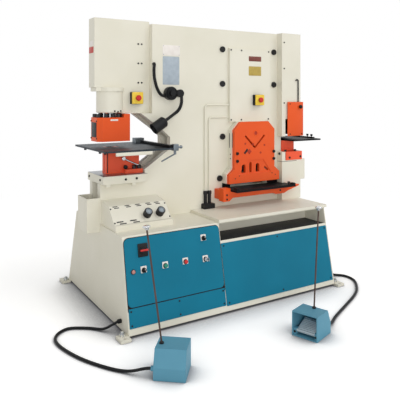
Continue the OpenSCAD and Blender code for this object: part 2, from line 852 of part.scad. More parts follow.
// Orange beam that carries the feed table, hooked up at its left end
module feed_support() {
  z = feed_z - feed_t;
  color(orange) {
    plate_y(-notch_front - 60, -notch_front)
      polygon([[69, z - 71], [122, z - 71], [152, z - 48], [545, z - 48], [565, z - 59], [650, z - 59],
        [684, z - 44], [807, z - 10], [807, z], [132, z], [132, z + 24], [69, z + 24]]);
    block([69, 132], [-notch_front - 1, face_y], [z - 60, z + 12]);
  }
}

module lower_blade() {
  color(steel) block([shear_x - flat_half, shear_x + flat_half], [-gap_half, blade_split - 0.5], [blade_z - 40, blade_z]);
}

// Cylinder between the plates that drives the shear beam
module shear_cylinder() {
  low = arm_top + 16;
  cyl_l = 334;
  color(beige) {
    translate([shear_x, 0, 0]) rotate_extrude()
      polygon([[shear_rod_r + run, low], [shear_cyl_r, low], [shear_cyl_r, low + cyl_l], [0, low + cyl_l],
        [0, low + cyl_l - 16], [shear_bore_r, low + cyl_l - 16], [shear_bore_r, low + 20],
        [shear_rod_r + run, low + 20]]);
    for (s = [-1, 1]) translate([shear_x, s * (gap_half + shear_cyl_r + 0.5) / 2, low + 214])
      cube([140, gap_half - shear_cyl_r - 0.5, 80], center = true);
  }
}

// Housing and jaw of the notcher, welded to the frame above and below the throat
module notch_housing() {
  color(beige) {
    plate_y(-notch_front, face_y)
      polygon([[notch_left, frame_top + 2], [frame_right, frame_top + 2], [frame_right, notch_low],
        [notch_left + notch_spine, notch_low], [notch_left + notch_spine, spine_low], [notch_left, spine_low]]);
    plate_y(-notch_front, face_y)
      polygon([[notch_left, spine_top], [notch_left + notch_spine, spine_top], [notch_left + notch_spine, jaw_z],
        [frame_right, jaw_z], [frame_right, deck_z], [notch_left, deck_z]]);
    difference() {
      block([notch_throat_x, jaw_right], [-jaw_half, jaw_half], [jaw_low, jaw_z]);
      block([notch_mid - 50, notch_mid + 50], [-45, 45], [jaw_low - 1, jaw_z + 1]);
    }
  }
}

module notch_die() {
  top = notch_table_z - notch_table_t;
  color(orange) difference() {
    union() {
      block([notch_throat_x, die_base_right], [-die_base_half, die_base_half], [jaw_z, jaw_z + die_base_t]);
      block([notch_mid - notch_die_w / 2, notch_mid + notch_die_w / 2], [-notch_die_half, notch_die_half],
        [jaw_z + die_base_t - 1, top]);
    }
    block([notch_mid - notch_w / 2 - notch_play, notch_mid + notch_w / 2 + notch_play],
      [-punch_half - notch_play, punch_half + notch_play], [jaw_z - 1, top + 1]);
  }
}

module notch_table() {
  color(black) difference() {
    block([notch_mid - 36, notch_table_right], [-notch_table_half, notch_table_half],
      [notch_table_z - notch_table_t, notch_table_z]);
    block([notch_mid - 37, notch_mid + notch_w / 2 + 8], [-punch_half - 8, punch_half + 8],
      [notch_table_z - notch_table_t - 1, notch_table_z + 1]);
  }
}

module stop_box_at(at, y) {
  difference() {
    block([at[0] - box_side / 2, at[0] + box_side / 2], [y - box_depth, y],
      [at[1] - box_side / 2, at[1] + box_side / 2]);
    rod_y(at[0], at[1], y - box_depth - 1, y - 8, 12);
  }
}

module stop_boxes() {
  color([0.95, 0.8, 0.2]) {
    stop_box_at(stop_left, -head_half);
    stop_box_at(stop_right, cover_y);
  }
}

module stop_button_at(at, y) {
  face = y - box_depth;
  color([0.8, 0.08, 0.07]) translate([at[0], face, at[1]]) rotate([90, 0, 0]) rotate_extrude()
    polygon([[0, -22], [11.5, -22], [11.5, stop_travel + 1], [mushroom_r - 2, stop_travel + 1],
      [mushroom_r, stop_travel + 4], [mushroom_r, stop_travel + 9], [mushroom_r - 5, stop_travel + 14],
      [0, stop_travel + 16]]);
}

module head_stop_button() { stop_button_at(stop_left, -head_half); }

module cover_stop_button() { stop_button_at(stop_right, cover_y); }

// Rigid conduits from the deck socket to the shear cover
tube_r = 6;
tube_bend = 24;
tube_y = face_y - tube_r - clr;
socket_top = base_h + 149;
tube_runs = [[-20, base_h + 791], [16, base_h + 697]];

module conduit_tube(x, z) {
  rod_z(x, tube_y, socket_top, z - tube_bend, tube_r);
  translate([x + tube_bend, tube_y, z - tube_bend]) rotate([90, 0, 0])
    translate([0, 0, 0]) rotate([0, 0, 90]) rotate_extrude(angle = 90) translate([tube_bend, 0]) circle(tube_r);
  rod_x(tube_y, z, x + tube_bend, shear_x - cover_half, tube_r);
}

module conduit_tubes() {
  color(beige) for (p = tube_runs) conduit_tube(p[0], p[1]);
}

module deck_socket() {
  color(black) {
    block([-49, 44], [face_y - 46, face_y], [deck_z, deck_z + 34]);
    for (p = tube_runs) rod_z(p[0], tube_y - 6, deck_z + 30, socket_top, 12);
  }
}

// Magnetic base of the work lamp with its side knob
module lamp_base() {
  y1 = face_y;
  color(black) {
    difference() {
      union() {
        rod_y(lamp_at[0], lamp_at[1], y1 - lamp_base_t, y1, lamp_base_r);
        rod_y(lamp_at[0], lamp_at[1], y1 - lamp_base_t - lamp_boss, y1, lamp_base_r - 12);
      }
      rod_y(lamp_at[0], lamp_at[1], y1 - lamp_base_t - lamp_boss - 1, y1 - lamp_base_t + 11, swivel_r + run);
    }
  }
}

// Gooseneck with its swivel knob and lamp head
module lamp_arm() {
  y1 = face_y - lamp_base_t - lamp_boss - clr;
  color(black) {
    rod_y(lamp_at[0] + lamp_knob_x, lamp_at[1], y1 - 24, y1, 28);
    rod_y(lamp_at[0], lamp_at[1], y1 - 20, y1, 22);
    rod_y(lamp_at[0], lamp_at[1], y1 - 1, y1 + 18, swivel_r);
    block([lamp_at[0], lamp_at[0] + lamp_knob_x], [y1 - 18, y1 - 6], [lamp_at[1] - 12, lamp_at[1] + 12]);
    rod_z(neck_top[0], neck_y, neck_top[1], lamp_at[1], neck_r);
    translate([neck_top[0] - neck_bend, neck_y, neck_top[1]]) rotate([90, 0, 0]) rotate([0, 0, -neck_sweep - neck_lap])
      rotate_extrude(angle = neck_sweep + 2 * neck_lap) translate([neck_bend, 0]) circle(neck_r - 0.4);
    translate([neck_end[0], neck_y, neck_end[1]]) rotate([0, neck_sweep - 180, 0]) cylinder(h = neck_run, r = neck_r);
    translate([lamp_tail[0], neck_y, lamp_tail[1]]) rotate([0, lamp_turn, 0]) lamp_head_shape();
  }
}

module lamp_head_shape() {
  rotate_extrude()
    polygon([[0, 0], [lamp_head_r - 12, 0], [lamp_head_r - 4, 8], [lamp_head_r, 14], [lamp_head_r, lamp_head_l],
      [lamp_head_r - 4, lamp_head_l], [lamp_head_r - 8, lamp_head_l - 30], [0, lamp_head_l - 34]]);
}

module lamp_conduit() {
  color(black) tube_along(spline(conduit_points, 2), neck_r, 10, [0, 1, 0.2]);
}

module left_pedal_cable() {
  color(black) tube_along(spline(left_route, 2), cable_r, 10, [0, 0, 1]);
}

module right_pedal_cable() {
  color(black) tube_along(spline(right_route, 2), cable_r, 10, [0, 0, 1]);
}

// Glands: both cabinet ends, both pedals and the lamp's conduit
module cable_glands() {
  color(black) {
    rod_x(left_gland[1], left_gland[2], left_gland[0] - gland_l, left_gland[0], gland_r);
    rod_x(right_gland[1], right_gland[2], right_gland[0], right_gland[0] + gland_l, gland_r);
    rod_y(conduit_points[0][0], conduit_points[0][2], conduit_points[0][1], face_y, neck_r + 0.5);
  }
}

// Places children in a pedal's own frame: rear wall's middle at the origin, mouth towards +Y
module at_pedal(p) {
  translate([p[0], p[1], 0]) rotate([0, 0, p[2] - 90]) children();
}

// Side profile of a pedal hood, mouth at the right
module pedal_profile(t) {
  slope = pedal_d - pedal_roof;
  polygon([[t, t], [pedal_d - (t > 0 ? -1 : 0), t], [pedal_d - (t > 0 ? -1 : 0), pedal_h - t],
    [slope + t / 2, pedal_h - t], [t, pedal_rear_h]]);
}

module pedal_hood() {
  half = pedal_w / 2;
  difference() {
    bar_x_from(-half, half) pedal_profile(0);
    bar_x_from(-half + pedal_wall, half - pedal_wall) pedal_profile(pedal_wall);
  }
  for (s = [-1, 1]) difference() {
    block([s > 0 ? treadle_w / 2 + 2 : -half + 1, s > 0 ? half - 1 : -treadle_w / 2 - 2],
      [treadle_pivot[1] - bracket_half, treadle_pivot[1] + bracket_half], [pedal_wall - 1, treadle_pivot[2] + 14]);
    rod_x(treadle_pivot[1], treadle_pivot[2], -pin_half - 1, pin_half + 1, pin_r + run);
  }
}

module pedal_guards() {
  color(pedal_blue) {
    at_pedal(left_pedal) pedal_with_boss([-pedal_w / 2, 22, 50], [0, -90, 0]);
    at_pedal(right_pedal) pedal_with_boss([-52, 0, 45], [90, 0, 0]);
  }
}

// Hood with a short boss where the cable comes in
module pedal_with_boss(at, turn) {
  pedal_hood();
  translate(at) rotate(turn) translate([0, 0, -1]) cylinder(h = 16, r = gland_r);
}

// Carry rods standing on the pedals, each with a flat knob
module carry_rod(foot) {
  lean = foot[2];
  tilt = atan2(norm(lean), rod_l);
  turn = atan2(lean[1], lean[0]);
  rotate([0, 0, turn]) rotate([0, tilt, 0]) {
    cylinder(h = rod_l, r = rod_r);
    translate([0, 0, rod_l - 16]) rotate_extrude()
      polygon([[0, 0], [9, 0], [11, 10], [21, 14], [21, 19], [14, 23], [0, 24]]);
  }
}

module pedal_rods() {
  pedals = [left_pedal, right_pedal];
  color([0.2, 0.19, 0.19]) for (i = [0, 1]) {
    foot = rod_foot[i];
    a = pedals[i][2] - 90;
    translate([pedals[i][0] + foot[0] * cos(a) - foot[1] * sin(a), pedals[i][1] + foot[0] * sin(a) + foot[1] * cos(a),
      pedal_h]) {
      cylinder(h = 10, r = 12);
      translate([0, 0, 4]) carry_rod(foot);
    }
  }
}

// Ribbed treadle that rises from a cross pin in the mouth towards the rear wall
module treadle(p) {
  ribs = floor(treadle_l / rib_pitch) - 1;
  top = treadle_t - 4;
  color(bright) at_pedal(p) translate(treadle_pivot) rotate([-treadle_tilt, 0, 0]) {
    block([-treadle_w / 2, treadle_w / 2], [-treadle_l, treadle_toe], [-4, top]);
    rod_x(0, 0, -pin_half, pin_half, pin_r);
    for (i = [1 : ribs]) block([-treadle_w / 2 + 6, treadle_w / 2 - 6], [-rib_pitch * i - rib_w, -rib_pitch * i],
      [top - 1, top - 1 + rib_h]);
  }
}

module left_treadle() { treadle(left_pedal); }

module right_treadle() { treadle(right_pedal); }

module bezel_at(at) {
  on_front(at) {
    difference() {
      union() {
        block([-legend / 2, legend / 2], [-panel_t - legend_t, -panel_t], [-legend / 2 + 4, legend / 2 + 4]);
        rod_y(0, 0, -panel_t - bezel_h, -panel_t, bezel_r);
      }
      rod_y(0, 0, -panel_t - bezel_h - 1, -panel_t + 1, plunger_r + clr);
    }
  }
}

// Legend plates with bezels, the main switch's plate and the pilot lamp
module control_bezels() {
  color([0.9, 0.9, 0.88]) for (at = [mode_at, green_at, red_at, function_at, key_at]) bezel_at(at);
  color(black) on_front(main_switch) difference() {
    block([-33, 33], [-panel_t - 8, -panel_t], [-40, 40]);
    rod_y(0, 0, -panel_t - 9, -panel_t + 1, plunger_r + clr);
  }
  color([0.9, 0.9, 0.86]) on_front(pilot_at) rod_y(0, 0, -panel_t - 10, -panel_t, 13);
}

// Push-button with a plunger through its bezel
module push_button(at) {
  on_front(at) {
    rod_y(0, 0, -panel_t - bezel_h - button_travel - 2, 6, plunger_r - 0.5);
    rod_y(0, 0, -panel_t - bezel_h - button_travel - 5, -panel_t - bezel_h - button_travel - 1, bezel_r - 2);
  }
}

module green_button() { color([0.1, 0.5, 0.2]) push_button(green_at); }

module red_button() { color([0.75, 0.1, 0.1]) push_button(red_at); }

// Rotary knob with a raised grip bar
module selector(at) {
  on_front(at) {
    rod_y(0, 0, -panel_t - bezel_h - 1, 6, plunger_r - 0.2);
    rod_y(0, 0, -panel_t - bezel_h - 8, -panel_t - bezel_h - clr, bezel_r - 2);
    block([-4, 4], [-panel_t - bezel_h - 18, -panel_t - bezel_h - 7], [-bezel_r + 3, bezel_r - 3]);
  }
}

module mode_selector() { color(black) selector(mode_at); }

module function_selector() { color(black) selector(function_at); }

// Key in its lock, with a short fob
module key_switch() {
  color(steel) on_front(key_at) {
    rod_y(0, 0, -panel_t - bezel_h - 4, 6, plunger_r - 0.2);
    block([-1.5, 1.5], [-panel_t - bezel_h - 30, -panel_t - bezel_h - 3], [-5, 5]);
    block([-1.5, 1.5], [-panel_t - bezel_h - 42, -panel_t - bezel_h - 29], [-11, 11]);
  }
}

module main_switch_handle() {
  color([0.75, 0.1, 0.1]) on_front(main_switch) {
    rod_y(0, 0, -panel_t - 9, 6, plunger_r - 0.2);
    rod_y(0, 0, -panel_t - 16, -panel_t - 8 - clr, 22);
    block([-26, 26], [-panel_t - 34, -panel_t - 15], [-6, 6]);
  }
}

// Hydraulic power pack in the rear of the cabinet
tank_x = [60, 700];
tank_y = [frame_half + 20, frame_half + 250];
tank_top = base_h - 237;
motor_r = 78;

module oil_tank() {
  color([0.3, 0.32, 0.34]) difference() {
    block(tank_x, tank_y, [floor_z, tank_top]);
    block([tank_x[0] + 4, tank_x[1] - 4], [tank_y[0] + 4, tank_y[1] - 4], [floor_z + 4, tank_top - 6]);
  }
}

module pump_motor() {
  y = (tank_y[0] + tank_y[1]) / 2;
  z = tank_top + motor_r + 14;
  color([0.25, 0.33, 0.4]) {
    rod_x(y, z, 330, 640, motor_r);
    rod_x(y, z, 640, 670, motor_r - 12);
    rod_x(y, z, 290, 330, motor_r - 20);
    rod_x(y, z, 170, 292, 48);
    block([350, 620], [y - 66, y + 66], [tank_top, z - 40]);
    block([190, 230], [y - 30, y + 30], [tank_top, z - 20]);
  }
}

// Piston and ram as one forging
module punch_ram() {
  color(steel) translate([punch_x, 0, 0]) rotate_extrude()
    polygon([[0, ram_low], [ram_r - 2, ram_low], [ram_r, ram_low + 2], [ram_r, piston_low], [bore_r - 2 * run, piston_low],
      [bore_r - 2 * run, piston_low + piston_t], [0, piston_low + piston_t]]);
}

// Coupling nut and punch
module punch_tool() {
  color([0.25, 0.25, 0.27]) translate([punch_x, 0, 0]) rotate_extrude()
    polygon([[0, tip_low], [tip_r, tip_low], [tip_r, ram_low - nut_h], [nut_r - 2, ram_low - nut_h],
      [nut_r, ram_low - nut_h + 3], [nut_r, ram_low], [0, ram_low]]);
}

// Plan of the stripper guard with its two left corners cut off, drawn in by a wall
module guard_outline(x, y, wall) {
  c = guard_cut + wall / 2;
  polygon([[x[0] + wall, y[0] + c], [x[0] + c, y[0] + wall], [x[1] - wall, y[0] + wall], [x[1] - wall, y[1] - wall],
    [x[0] + c, y[1] - wall], [x[0] + wall, y[1] - c]]);
}

// Box guard that strips the plate from the punch, hung on four studs
module stripper_guard() {
  x = [punch_x - guard_l / 2, punch_x + guard_l / 2];
  y = [-guard_half, guard_half];
  color(orange) {
    difference() {
      translate([0, 0, guard_low]) linear_extrude(guard_top - guard_low) guard_outline(x, y, 0);
      translate([0, 0, guard_low + strip_t]) linear_extrude(guard_top - guard_low - strip_t - guard_wall)
        guard_outline(x, y, guard_wall);
      rod_z(punch_x, 0, guard_low - 1, guard_top + 1, tip_r + 3);
      rod_z(punch_x, 0, guard_top - guard_wall - 1, guard_top + 1, ram_r + 4);
      block([x[0] - 1, x[0] + guard_wall + 1], [-50, 50], [guard_low + 30, guard_top - 34]);
    }
    for (i = [1 : 5]) block([x[0] + 2, x[0] + 5], [-50 + 100 * i / 6 - 2, -50 + 100 * i / 6 + 2],
      [guard_low + 29, guard_top - 33]);
    block([x[1] - 46, x[1]], y, [guard_top - 1, guard_top + 24]);
  }
  color(black) for (sx = [-1, 1], sy = [-1, 1]) {
    rod_z(punch_x + sx * stud_pos[0], sy * stud_pos[1], guard_top - 2, nose_low + 50, stud_r);
    translate([punch_x + sx * stud_pos[0], sy * stud_pos[1], guard_top - 1]) cylinder(h = 16, r = 15, $fn = 6);
  }
}

// Blade carrier between the frame plates: shear blade, bar holes and the arm to the notcher
module shear_beam() {
  color(steel) {
    difference() {
      plate_y(-beam_y, beam_y) difference() {
        polygon([[shear_x - beam_half, beam_low], [shear_x + beam_half, beam_low], [shear_x + beam_half, arm_low],
          [arm_right, arm_low], [arm_right, arm_top], [shear_x - beam_half, arm_top]]);
        v_slots(v_slot + 4, v_arm - 6);
        for (i = [0 : 2]) translate([shear_x + bar_x[i] - bar_hole[i] / 2, bar_low]) square(bar_hole[i]);
      }
      block([shear_x - beam_half - 1, shear_x + beam_half + 1], [-beam_y - 1, blade_split], [beam_low - 1, window_z[0] - 8]);
    }
    rod_z(shear_x, 0, arm_top - 1, arm_top + 130, shear_rod_r);
    rod_z(shear_x, 0, arm_top + 110, arm_top + 140, shear_bore_r - 2 * run);
    block([notch_mid - notch_w / 2, notch_mid + notch_w / 2], [-punch_half, punch_half], [notch_tip, arm_low + 1]);
  }
}

// Sheet hood round the notch punch, with lifting rod and clamp knob
module notch_guard() {
  s = notch_sheet;
  rod_at = [848, -notch_front - 5 - clr];
  rod_top = guard_z[1] + 172;
  knob_at = [857, guard_z[1] - 40];
  hook = 12;
  color(orange) difference() {
    block(guard_x, [-guard_y - s, guard_y + s], guard_z);
    block([guard_x[0] - 1, guard_x[1] - s], [-guard_y, guard_y], [guard_z[0] - 1, guard_z[1] + 1]);
  }
  color(steel) {
    rod_z(rod_at[0], rod_at[1], guard_z[0] + 20, rod_top, 5);
    translate([rod_at[0] - hook, rod_at[1], rod_top]) rotate([90, 0, 0]) rotate_extrude(angle = 180)
      translate([hook, 0]) circle(5);
  }
  color(black) rod_y(knob_at[0], knob_at[1], -guard_y - s - 20, -guard_y - s + 1, 15);
}

// Stop that slides along the gauge bar
module gauge_stop() {
  x = [gauge_x0 - 40, gauge_x0 + gauge_w + 1.5];
  z0 = table_z + clr;
  color(bright) difference() {
    block(x, [170, 230], [z0, table_z + gauge_h + 18]);
    block([gauge_x0 - clr, gauge_x0 + gauge_w + 3], [169, 231], [z0 - 1, table_z + gauge_h + clr]);
  }
}

// Bent lever under the gauge clamp, turning on a vertical screw
module clamp_lever() {
  at = [table_right + clamp_l / 2, -table_half + clamp_l / 2];
  z = table_z - 21;
  color(bright) {
    rod_z(at[0], at[1], z - 26, z - clr, 9);
    translate([at[0], at[1], z - 22]) rotate([0, -114, 0]) cylinder(h = 112, r = 5);
  }
}

// Lock lever on the die holder with a round knob
module die_lever() {
  y = -holder_half;
  color(bright) {
    rod_y(die_hub[0], die_hub[1], y - 20, y - clr, 14);
    rod_y(die_hub[0], die_hub[1], y - 18, y + 20, 8);
    translate([die_hub[0], y - 12, die_hub[1]]) rotate([0, 90 + die_drop, 0]) cylinder(h = die_arm, r = 5);
  }
  color(black) translate([die_hub[0], y - 12, die_hub[1]]) rotate([0, 90 + die_drop, 0])
    translate([0, 0, die_arm]) sphere(11);
}

base_cabinet();
deck_table();
levelling_feet();
control_panel();
lower_panel();
right_panel();
front_frame_plate();
rear_frame_plate();
frame_bolts();
punch_head();
punch_cylinder();
punch_bolster();
slug_box();
die_holder();
dies();
punch_table();
gauge_bar();
tool_rack();
shear_cover();
shear_backing();
section_plate();
feed_table();
feed_support();
lower_blade();
shear_cylinder();
notch_housing();
notch_die();
notch_table();
stop_boxes();
conduit_tubes();
deck_socket();
lamp_base();
lamp_conduit();
left_pedal_cable();
right_pedal_cable();
cable_glands();
pedal_guards();
pedal_rods();
control_bezels();
oil_tank();
pump_motor();
punch_ram();
punch_tool();
stripper_guard();
shear_beam();
notch_guard();
gauge_stop();
clamp_lever();
die_lever();
head_stop_button();
cover_stop_button();
green_button();
red_button();
mode_selector();
function_selector();
key_switch();
main_switch_handle();
lamp_arm();
left_treadle();
right_treadle();
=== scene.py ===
import bpy
import math
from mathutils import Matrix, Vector


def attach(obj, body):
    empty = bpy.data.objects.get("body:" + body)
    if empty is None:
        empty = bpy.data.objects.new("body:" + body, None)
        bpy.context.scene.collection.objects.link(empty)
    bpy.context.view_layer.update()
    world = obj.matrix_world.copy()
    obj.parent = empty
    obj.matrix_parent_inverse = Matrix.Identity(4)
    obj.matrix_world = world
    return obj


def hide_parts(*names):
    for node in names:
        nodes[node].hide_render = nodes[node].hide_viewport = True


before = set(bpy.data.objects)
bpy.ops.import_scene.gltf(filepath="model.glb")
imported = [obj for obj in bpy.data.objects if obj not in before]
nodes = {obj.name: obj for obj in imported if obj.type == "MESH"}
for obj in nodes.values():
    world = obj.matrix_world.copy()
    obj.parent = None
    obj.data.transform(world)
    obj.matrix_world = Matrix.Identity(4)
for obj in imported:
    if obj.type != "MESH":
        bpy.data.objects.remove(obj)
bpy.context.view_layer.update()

scene = bpy.context.scene
scene.view_settings.view_transform = "Standard"
mm = 0.001
toLeft, toRight = (-1, 0, 0), (1, 0, 0)
toFront, toRear = (0, -1, 0), (0, 1, 0)
down, up = (0, 0, -1), (0, 0, 1)


def clearSelection():
    bpy.ops.object.select_all(action="DESELECT")


def pick(piece):
    clearSelection()
    piece.select_set(True)
    bpy.context.view_layer.objects.active = piece


def settle(piece):
    # puts place, turn and size into the mesh
    pick(piece)
    bpy.ops.object.transform_apply(location=True, rotation=True, scale=True)
    return piece


def roundEdges(piece, width, steps=2, angle=35):
    bevel = piece.modifiers.new("edges", "BEVEL")
    bevel.width = width
    bevel.segments = steps
    bevel.limit_method = "ANGLE"
    bevel.angle_limit = math.radians(angle)
    pick(piece)
    bpy.ops.object.modifier_apply(modifier=bevel.name)
    bpy.ops.object.shade_smooth_by_angle(angle=math.radians(angle))
    return piece


def slab(name, low, high, edge, steps=2):
    # block between two corners in millimetres, with broken edges
    clearSelection()
    mid = [(a + b) / 2 * mm for a, b in zip(low, high)]
    bpy.ops.mesh.primitive_cube_add(size=1, location=mid)
    piece = bpy.context.active_object
    piece.name = name
    piece.scale = [abs(b - a) * mm for a, b in zip(low, high)]
    settle(piece)
    if edge:
        roundEdges(piece, edge * mm, steps)
    return piece


def aim(direction):
    return Vector(direction).to_track_quat("Z", "Y").to_euler()


def turned(name, steps, at, direction, sides=32, edge=0):
    # lathe work: rings of (radius, height) in millimetres, pulled up from a disc
    clearSelection()
    bpy.ops.mesh.primitive_circle_add(vertices=sides, radius=steps[0][0] * mm, fill_type="NGON")
    piece = bpy.context.active_object
    piece.name = name
    bpy.ops.object.mode_set(mode="EDIT")
    bpy.ops.mesh.select_all(action="SELECT")
    radius, height = steps[0]
    for nextRadius, nextHeight in steps[1:]:
        pull = (0, 0, (nextHeight - height) * mm)
        bpy.ops.mesh.extrude_region_move(TRANSFORM_OT_translate={"value": pull})
        scale = nextRadius / radius
        bpy.ops.transform.resize(value=(scale, scale, 1), center_override=(0, 0, nextHeight * mm))
        radius, height = nextRadius, nextHeight
    bpy.ops.mesh.select_all(action="SELECT")
    bpy.ops.mesh.normals_make_consistent(inside=False)
    bpy.ops.object.mode_set(mode="OBJECT")
    piece.location = (Vector(at) + Vector(direction).normalized() * steps[0][1]) * mm
    piece.rotation_euler = aim(direction)
    settle(piece)
    if edge:
        roundEdges(piece, edge * mm, 2, 40)
    return piece


def outline(name, points, near, far, edge, axis="Y"):
    # plate with a drawn outline: a disc's corners are moved to the outline, then pulled to its thickness
    clearSelection()
    bpy.ops.mesh.primitive_circle_add(vertices=len(points), radius=1, fill_type="NGON")
    piece = bpy.context.active_object
    piece.name = name
    for corner, (a, b) in zip(piece.data.vertices, points):
        place = {"X": (near, a, b), "Y": (a, near, b), "Z": (a, b, near)}[axis]
        corner.co = [c * mm for c in place]
    bpy.ops.object.mode_set(mode="EDIT")
    bpy.ops.mesh.select_all(action="SELECT")
    step = (far - near) * mm
    pull = {"X": (step, 0, 0), "Y": (0, step, 0), "Z": (0, 0, step)}[axis]
    bpy.ops.mesh.extrude_region_move(TRANSFORM_OT_translate={"value": pull})
    bpy.ops.mesh.select_all(action="SELECT")
    bpy.ops.mesh.normals_make_consistent(inside=False)
    bpy.ops.object.mode_set(mode="OBJECT")
    if edge:
        roundEdges(piece, edge * mm)
    return piece


def roundedPoints(box, low, high, steps=7):
    # rectangle with round corners, its own radius below and above
    x0, x1, z0, z1 = box
    points = []
    for cx, cz, radius, start in ((x1 - low, z0 + low, low, 270), (x1 - high, z1 - high, high, 0),
                                  (x0 + high, z1 - high, high, 90), (x0 + low, z0 + low, low, 180)):
        for i in range(steps + 1):
            angle = math.radians(start + 90 * i / steps)
            points.append((cx + radius * math.cos(angle), cz + radius * math.sin(angle)))
    return points


def thinPlate(name, box, radius, near, far, edge, axis="Y"):
    return outline(name, roundedPoints(box, radius, radius, 4), near, far, edge, axis)


def tubeAlong(name, places, radius, rings):
    # round tube on a curve through places in metres
    clearSelection()
    bpy.ops.curve.primitive_nurbs_path_add()
    piece = bpy.context.active_object
    piece.name = name
    line = piece.data
    line.splines.clear()
    spline = line.splines.new("POLY")
    spline.points.add(len(places) - 1)
    for knot, place in zip(spline.points, places):
        knot.co = (*place, 1)
    line.dimensions = "3D"
    line.bevel_depth = radius * mm
    line.bevel_resolution = rings
    line.use_fill_caps = True
    return piece


def bentRod(name, points, radius):
    # rod along a given line, made a mesh
    pick(tubeAlong(name, [[c * mm for c in p] for p in points], radius, 4))
    bpy.ops.object.convert(target="MESH")
    piece = settle(bpy.context.active_object)
    bpy.ops.object.shade_smooth_by_angle(angle=math.radians(50))
    return piece


def joinPieces(name, pieces):
    clearSelection()
    for piece in pieces:
        piece.select_set(True)
    bpy.context.view_layer.objects.active = pieces[0]
    bpy.ops.object.join()
    whole = bpy.context.active_object
    whole.name = name
    return whole


def copyTo(piece, name, shift):
    clearSelection()
    twin = piece.copy()
    twin.data = piece.data.copy()
    scene.collection.objects.link(twin)
    twin.name = name
    twin.location = Vector(shift) * mm
    return settle(twin)


# screws and nuts: rings in shares of the radius and the height
capForm = [(1, 0), (1, 0.8), (0.9, 1), (0.52, 1), (0.48, 0.45)]
nutForm = [(1, 0), (1, 0.9), (0.86, 1), (0.5, 1), (0.48, 0.96)]


def fasteners(name, form, places, direction, radius, height, sides):
    # one is turned, the others are copies, all joined
    steps = [(radius * r, height * h) for r, h in form]
    first = turned(name, steps, places[0], direction, sides)
    start = Vector(places[0])
    others = [copyTo(first, name + str(i), Vector(p) - start) for i, p in enumerate(places[1:], 1)]
    return joinPieces(name, [first] + others)


def capScrews(name, places, direction, radius, height, sides):
    return fasteners(name, capForm, places, direction, radius, height, sides)


def hexNuts(name, places, direction, radius, height):
    return fasteners(name, nutForm, places, direction, radius, height, 6)


# the cabinet's leaning faces and the tool rack: pieces are drawn upright or flat and tipped onto them
cabinet = {"frontFoot": 580, "frontTop": 468, "rearFoot": 585, "rearTop": 393, "top": 577}
rackSlope = {"topEdge": (-232, 716), "rise": 100, "run": 98}


def tip(piece, angle, y, z):
    piece.rotation_euler = (angle, 0, 0)
    piece.location = (0, y * mm, z * mm)
    return settle(piece)


def ontoSlope(piece):
    lean = math.atan((cabinet["frontFoot"] - cabinet["frontTop"]) / cabinet["top"])
    return tip(piece, -lean, -cabinet["frontFoot"], 0)


def ontoRear(piece):
    lean = math.atan((cabinet["rearFoot"] - cabinet["rearTop"]) / cabinet["top"])
    return tip(piece, lean, cabinet["rearFoot"], 0)


def ontoRack(piece):
    # x stays, y is the way up the slope from its top edge, z stands off it
    return tip(piece, math.atan2(rackSlope["rise"], rackSlope["run"]), *rackSlope["topEdge"])


# camera: a level, slightly long view from the left front, a little above the punch table
cameraSet = {"place": (-2.070, -3.399, 1.420), "ahead": (0.5204, 0.854), "pitch": 0, "focalPixels": 518.6,
             "photoPixels": 400, "sensor": 36, "shiftY": -0.255, "farthest": 60}
lens = bpy.data.cameras.new("photoView")
lens.sensor_width = cameraSet["sensor"]
lens.lens = cameraSet["focalPixels"] / cameraSet["photoPixels"] * cameraSet["sensor"]
lens.shift_y = cameraSet["shiftY"]
lens.clip_end = cameraSet["farthest"]
camera = bpy.data.objects.new("photoView", lens)
scene.collection.objects.link(camera)
camera.location = cameraSet["place"]
heading = math.atan2(cameraSet["ahead"][1], cameraSet["ahead"][0])
camera.rotation_euler = (math.radians(90 - cameraSet["pitch"]), 0, heading - math.pi / 2)
scene.camera = camera
print("camera set")


def linear(hexColour):
    # sRGB hex to linear
    parts = [int(hexColour.lstrip("#")[i:i + 2], 16) / 255 for i in (0, 2, 4)]
    return [c / 12.92 if c <= 0.04045 else ((c + 0.055) / 1.055) ** 2.4 for c in parts] + [1.0]


def addNode(tree, kind, settings=None):
    # one node: a setting is a property, a socket's value, or another node's output to link to the socket
    node = tree.nodes.new(kind)
    for key, value in (settings or {}).items():
        if isinstance(value, bpy.types.NodeSocket):
            tree.links.new(value, node.inputs[key])
        elif isinstance(key, int) or key in node.inputs:
            node.inputs[key].default_value = value
        else:
            setattr(node, key, value)
    return node


def startMaterial(name, shader):
    material = bpy.data.materials.new(name)
    material.use_nodes = True
    tree = material.node_tree
    tree.nodes.clear()
    surface = addNode(tree, "ShaderNodeBsdfPrincipled", shader)
    addNode(tree, "ShaderNodeOutputMaterial", {"Surface": surface.outputs["BSDF"]})
    place = addNode(tree, "ShaderNodeTexCoord")
    return material, tree, surface, place.outputs["Object"]


def mixColours(tree, factor, *colours):
    # two colours, each a hex value or an output
    first, second = [linear(c) if isinstance(c, str) else c for c in colours]
    return addNode(tree, "ShaderNodeMix", {"data_type": "RGBA", 0: factor, 6: first, 7: second}).outputs[2]


def noise(tree, place, scale, detail):
    pattern = {"Scale": scale, "Detail": detail, "Vector": place}
    return addNode(tree, "ShaderNodeTexNoise", pattern).outputs["Fac"]


def ramp(tree, source, low, high, toLow=0.0, toHigh=1.0):
    # spreads a narrow band of a pattern over a range
    limits = {"From Min": low, "From Max": high, "To Min": toLow, "To Max": toHigh}
    return addNode(tree, "ShaderNodeMapRange", {**limits, "Value": source}).outputs["Result"]


def combine(tree, operation, first, second):
    return addNode(tree, "ShaderNodeMath", {"operation": operation, 0: first, 1: second}).outputs[0]


def softNormal(tree, radius):
    return addNode(tree, "ShaderNodeBevel", {"samples": 4, "Radius": radius * mm}).outputs["Normal"]


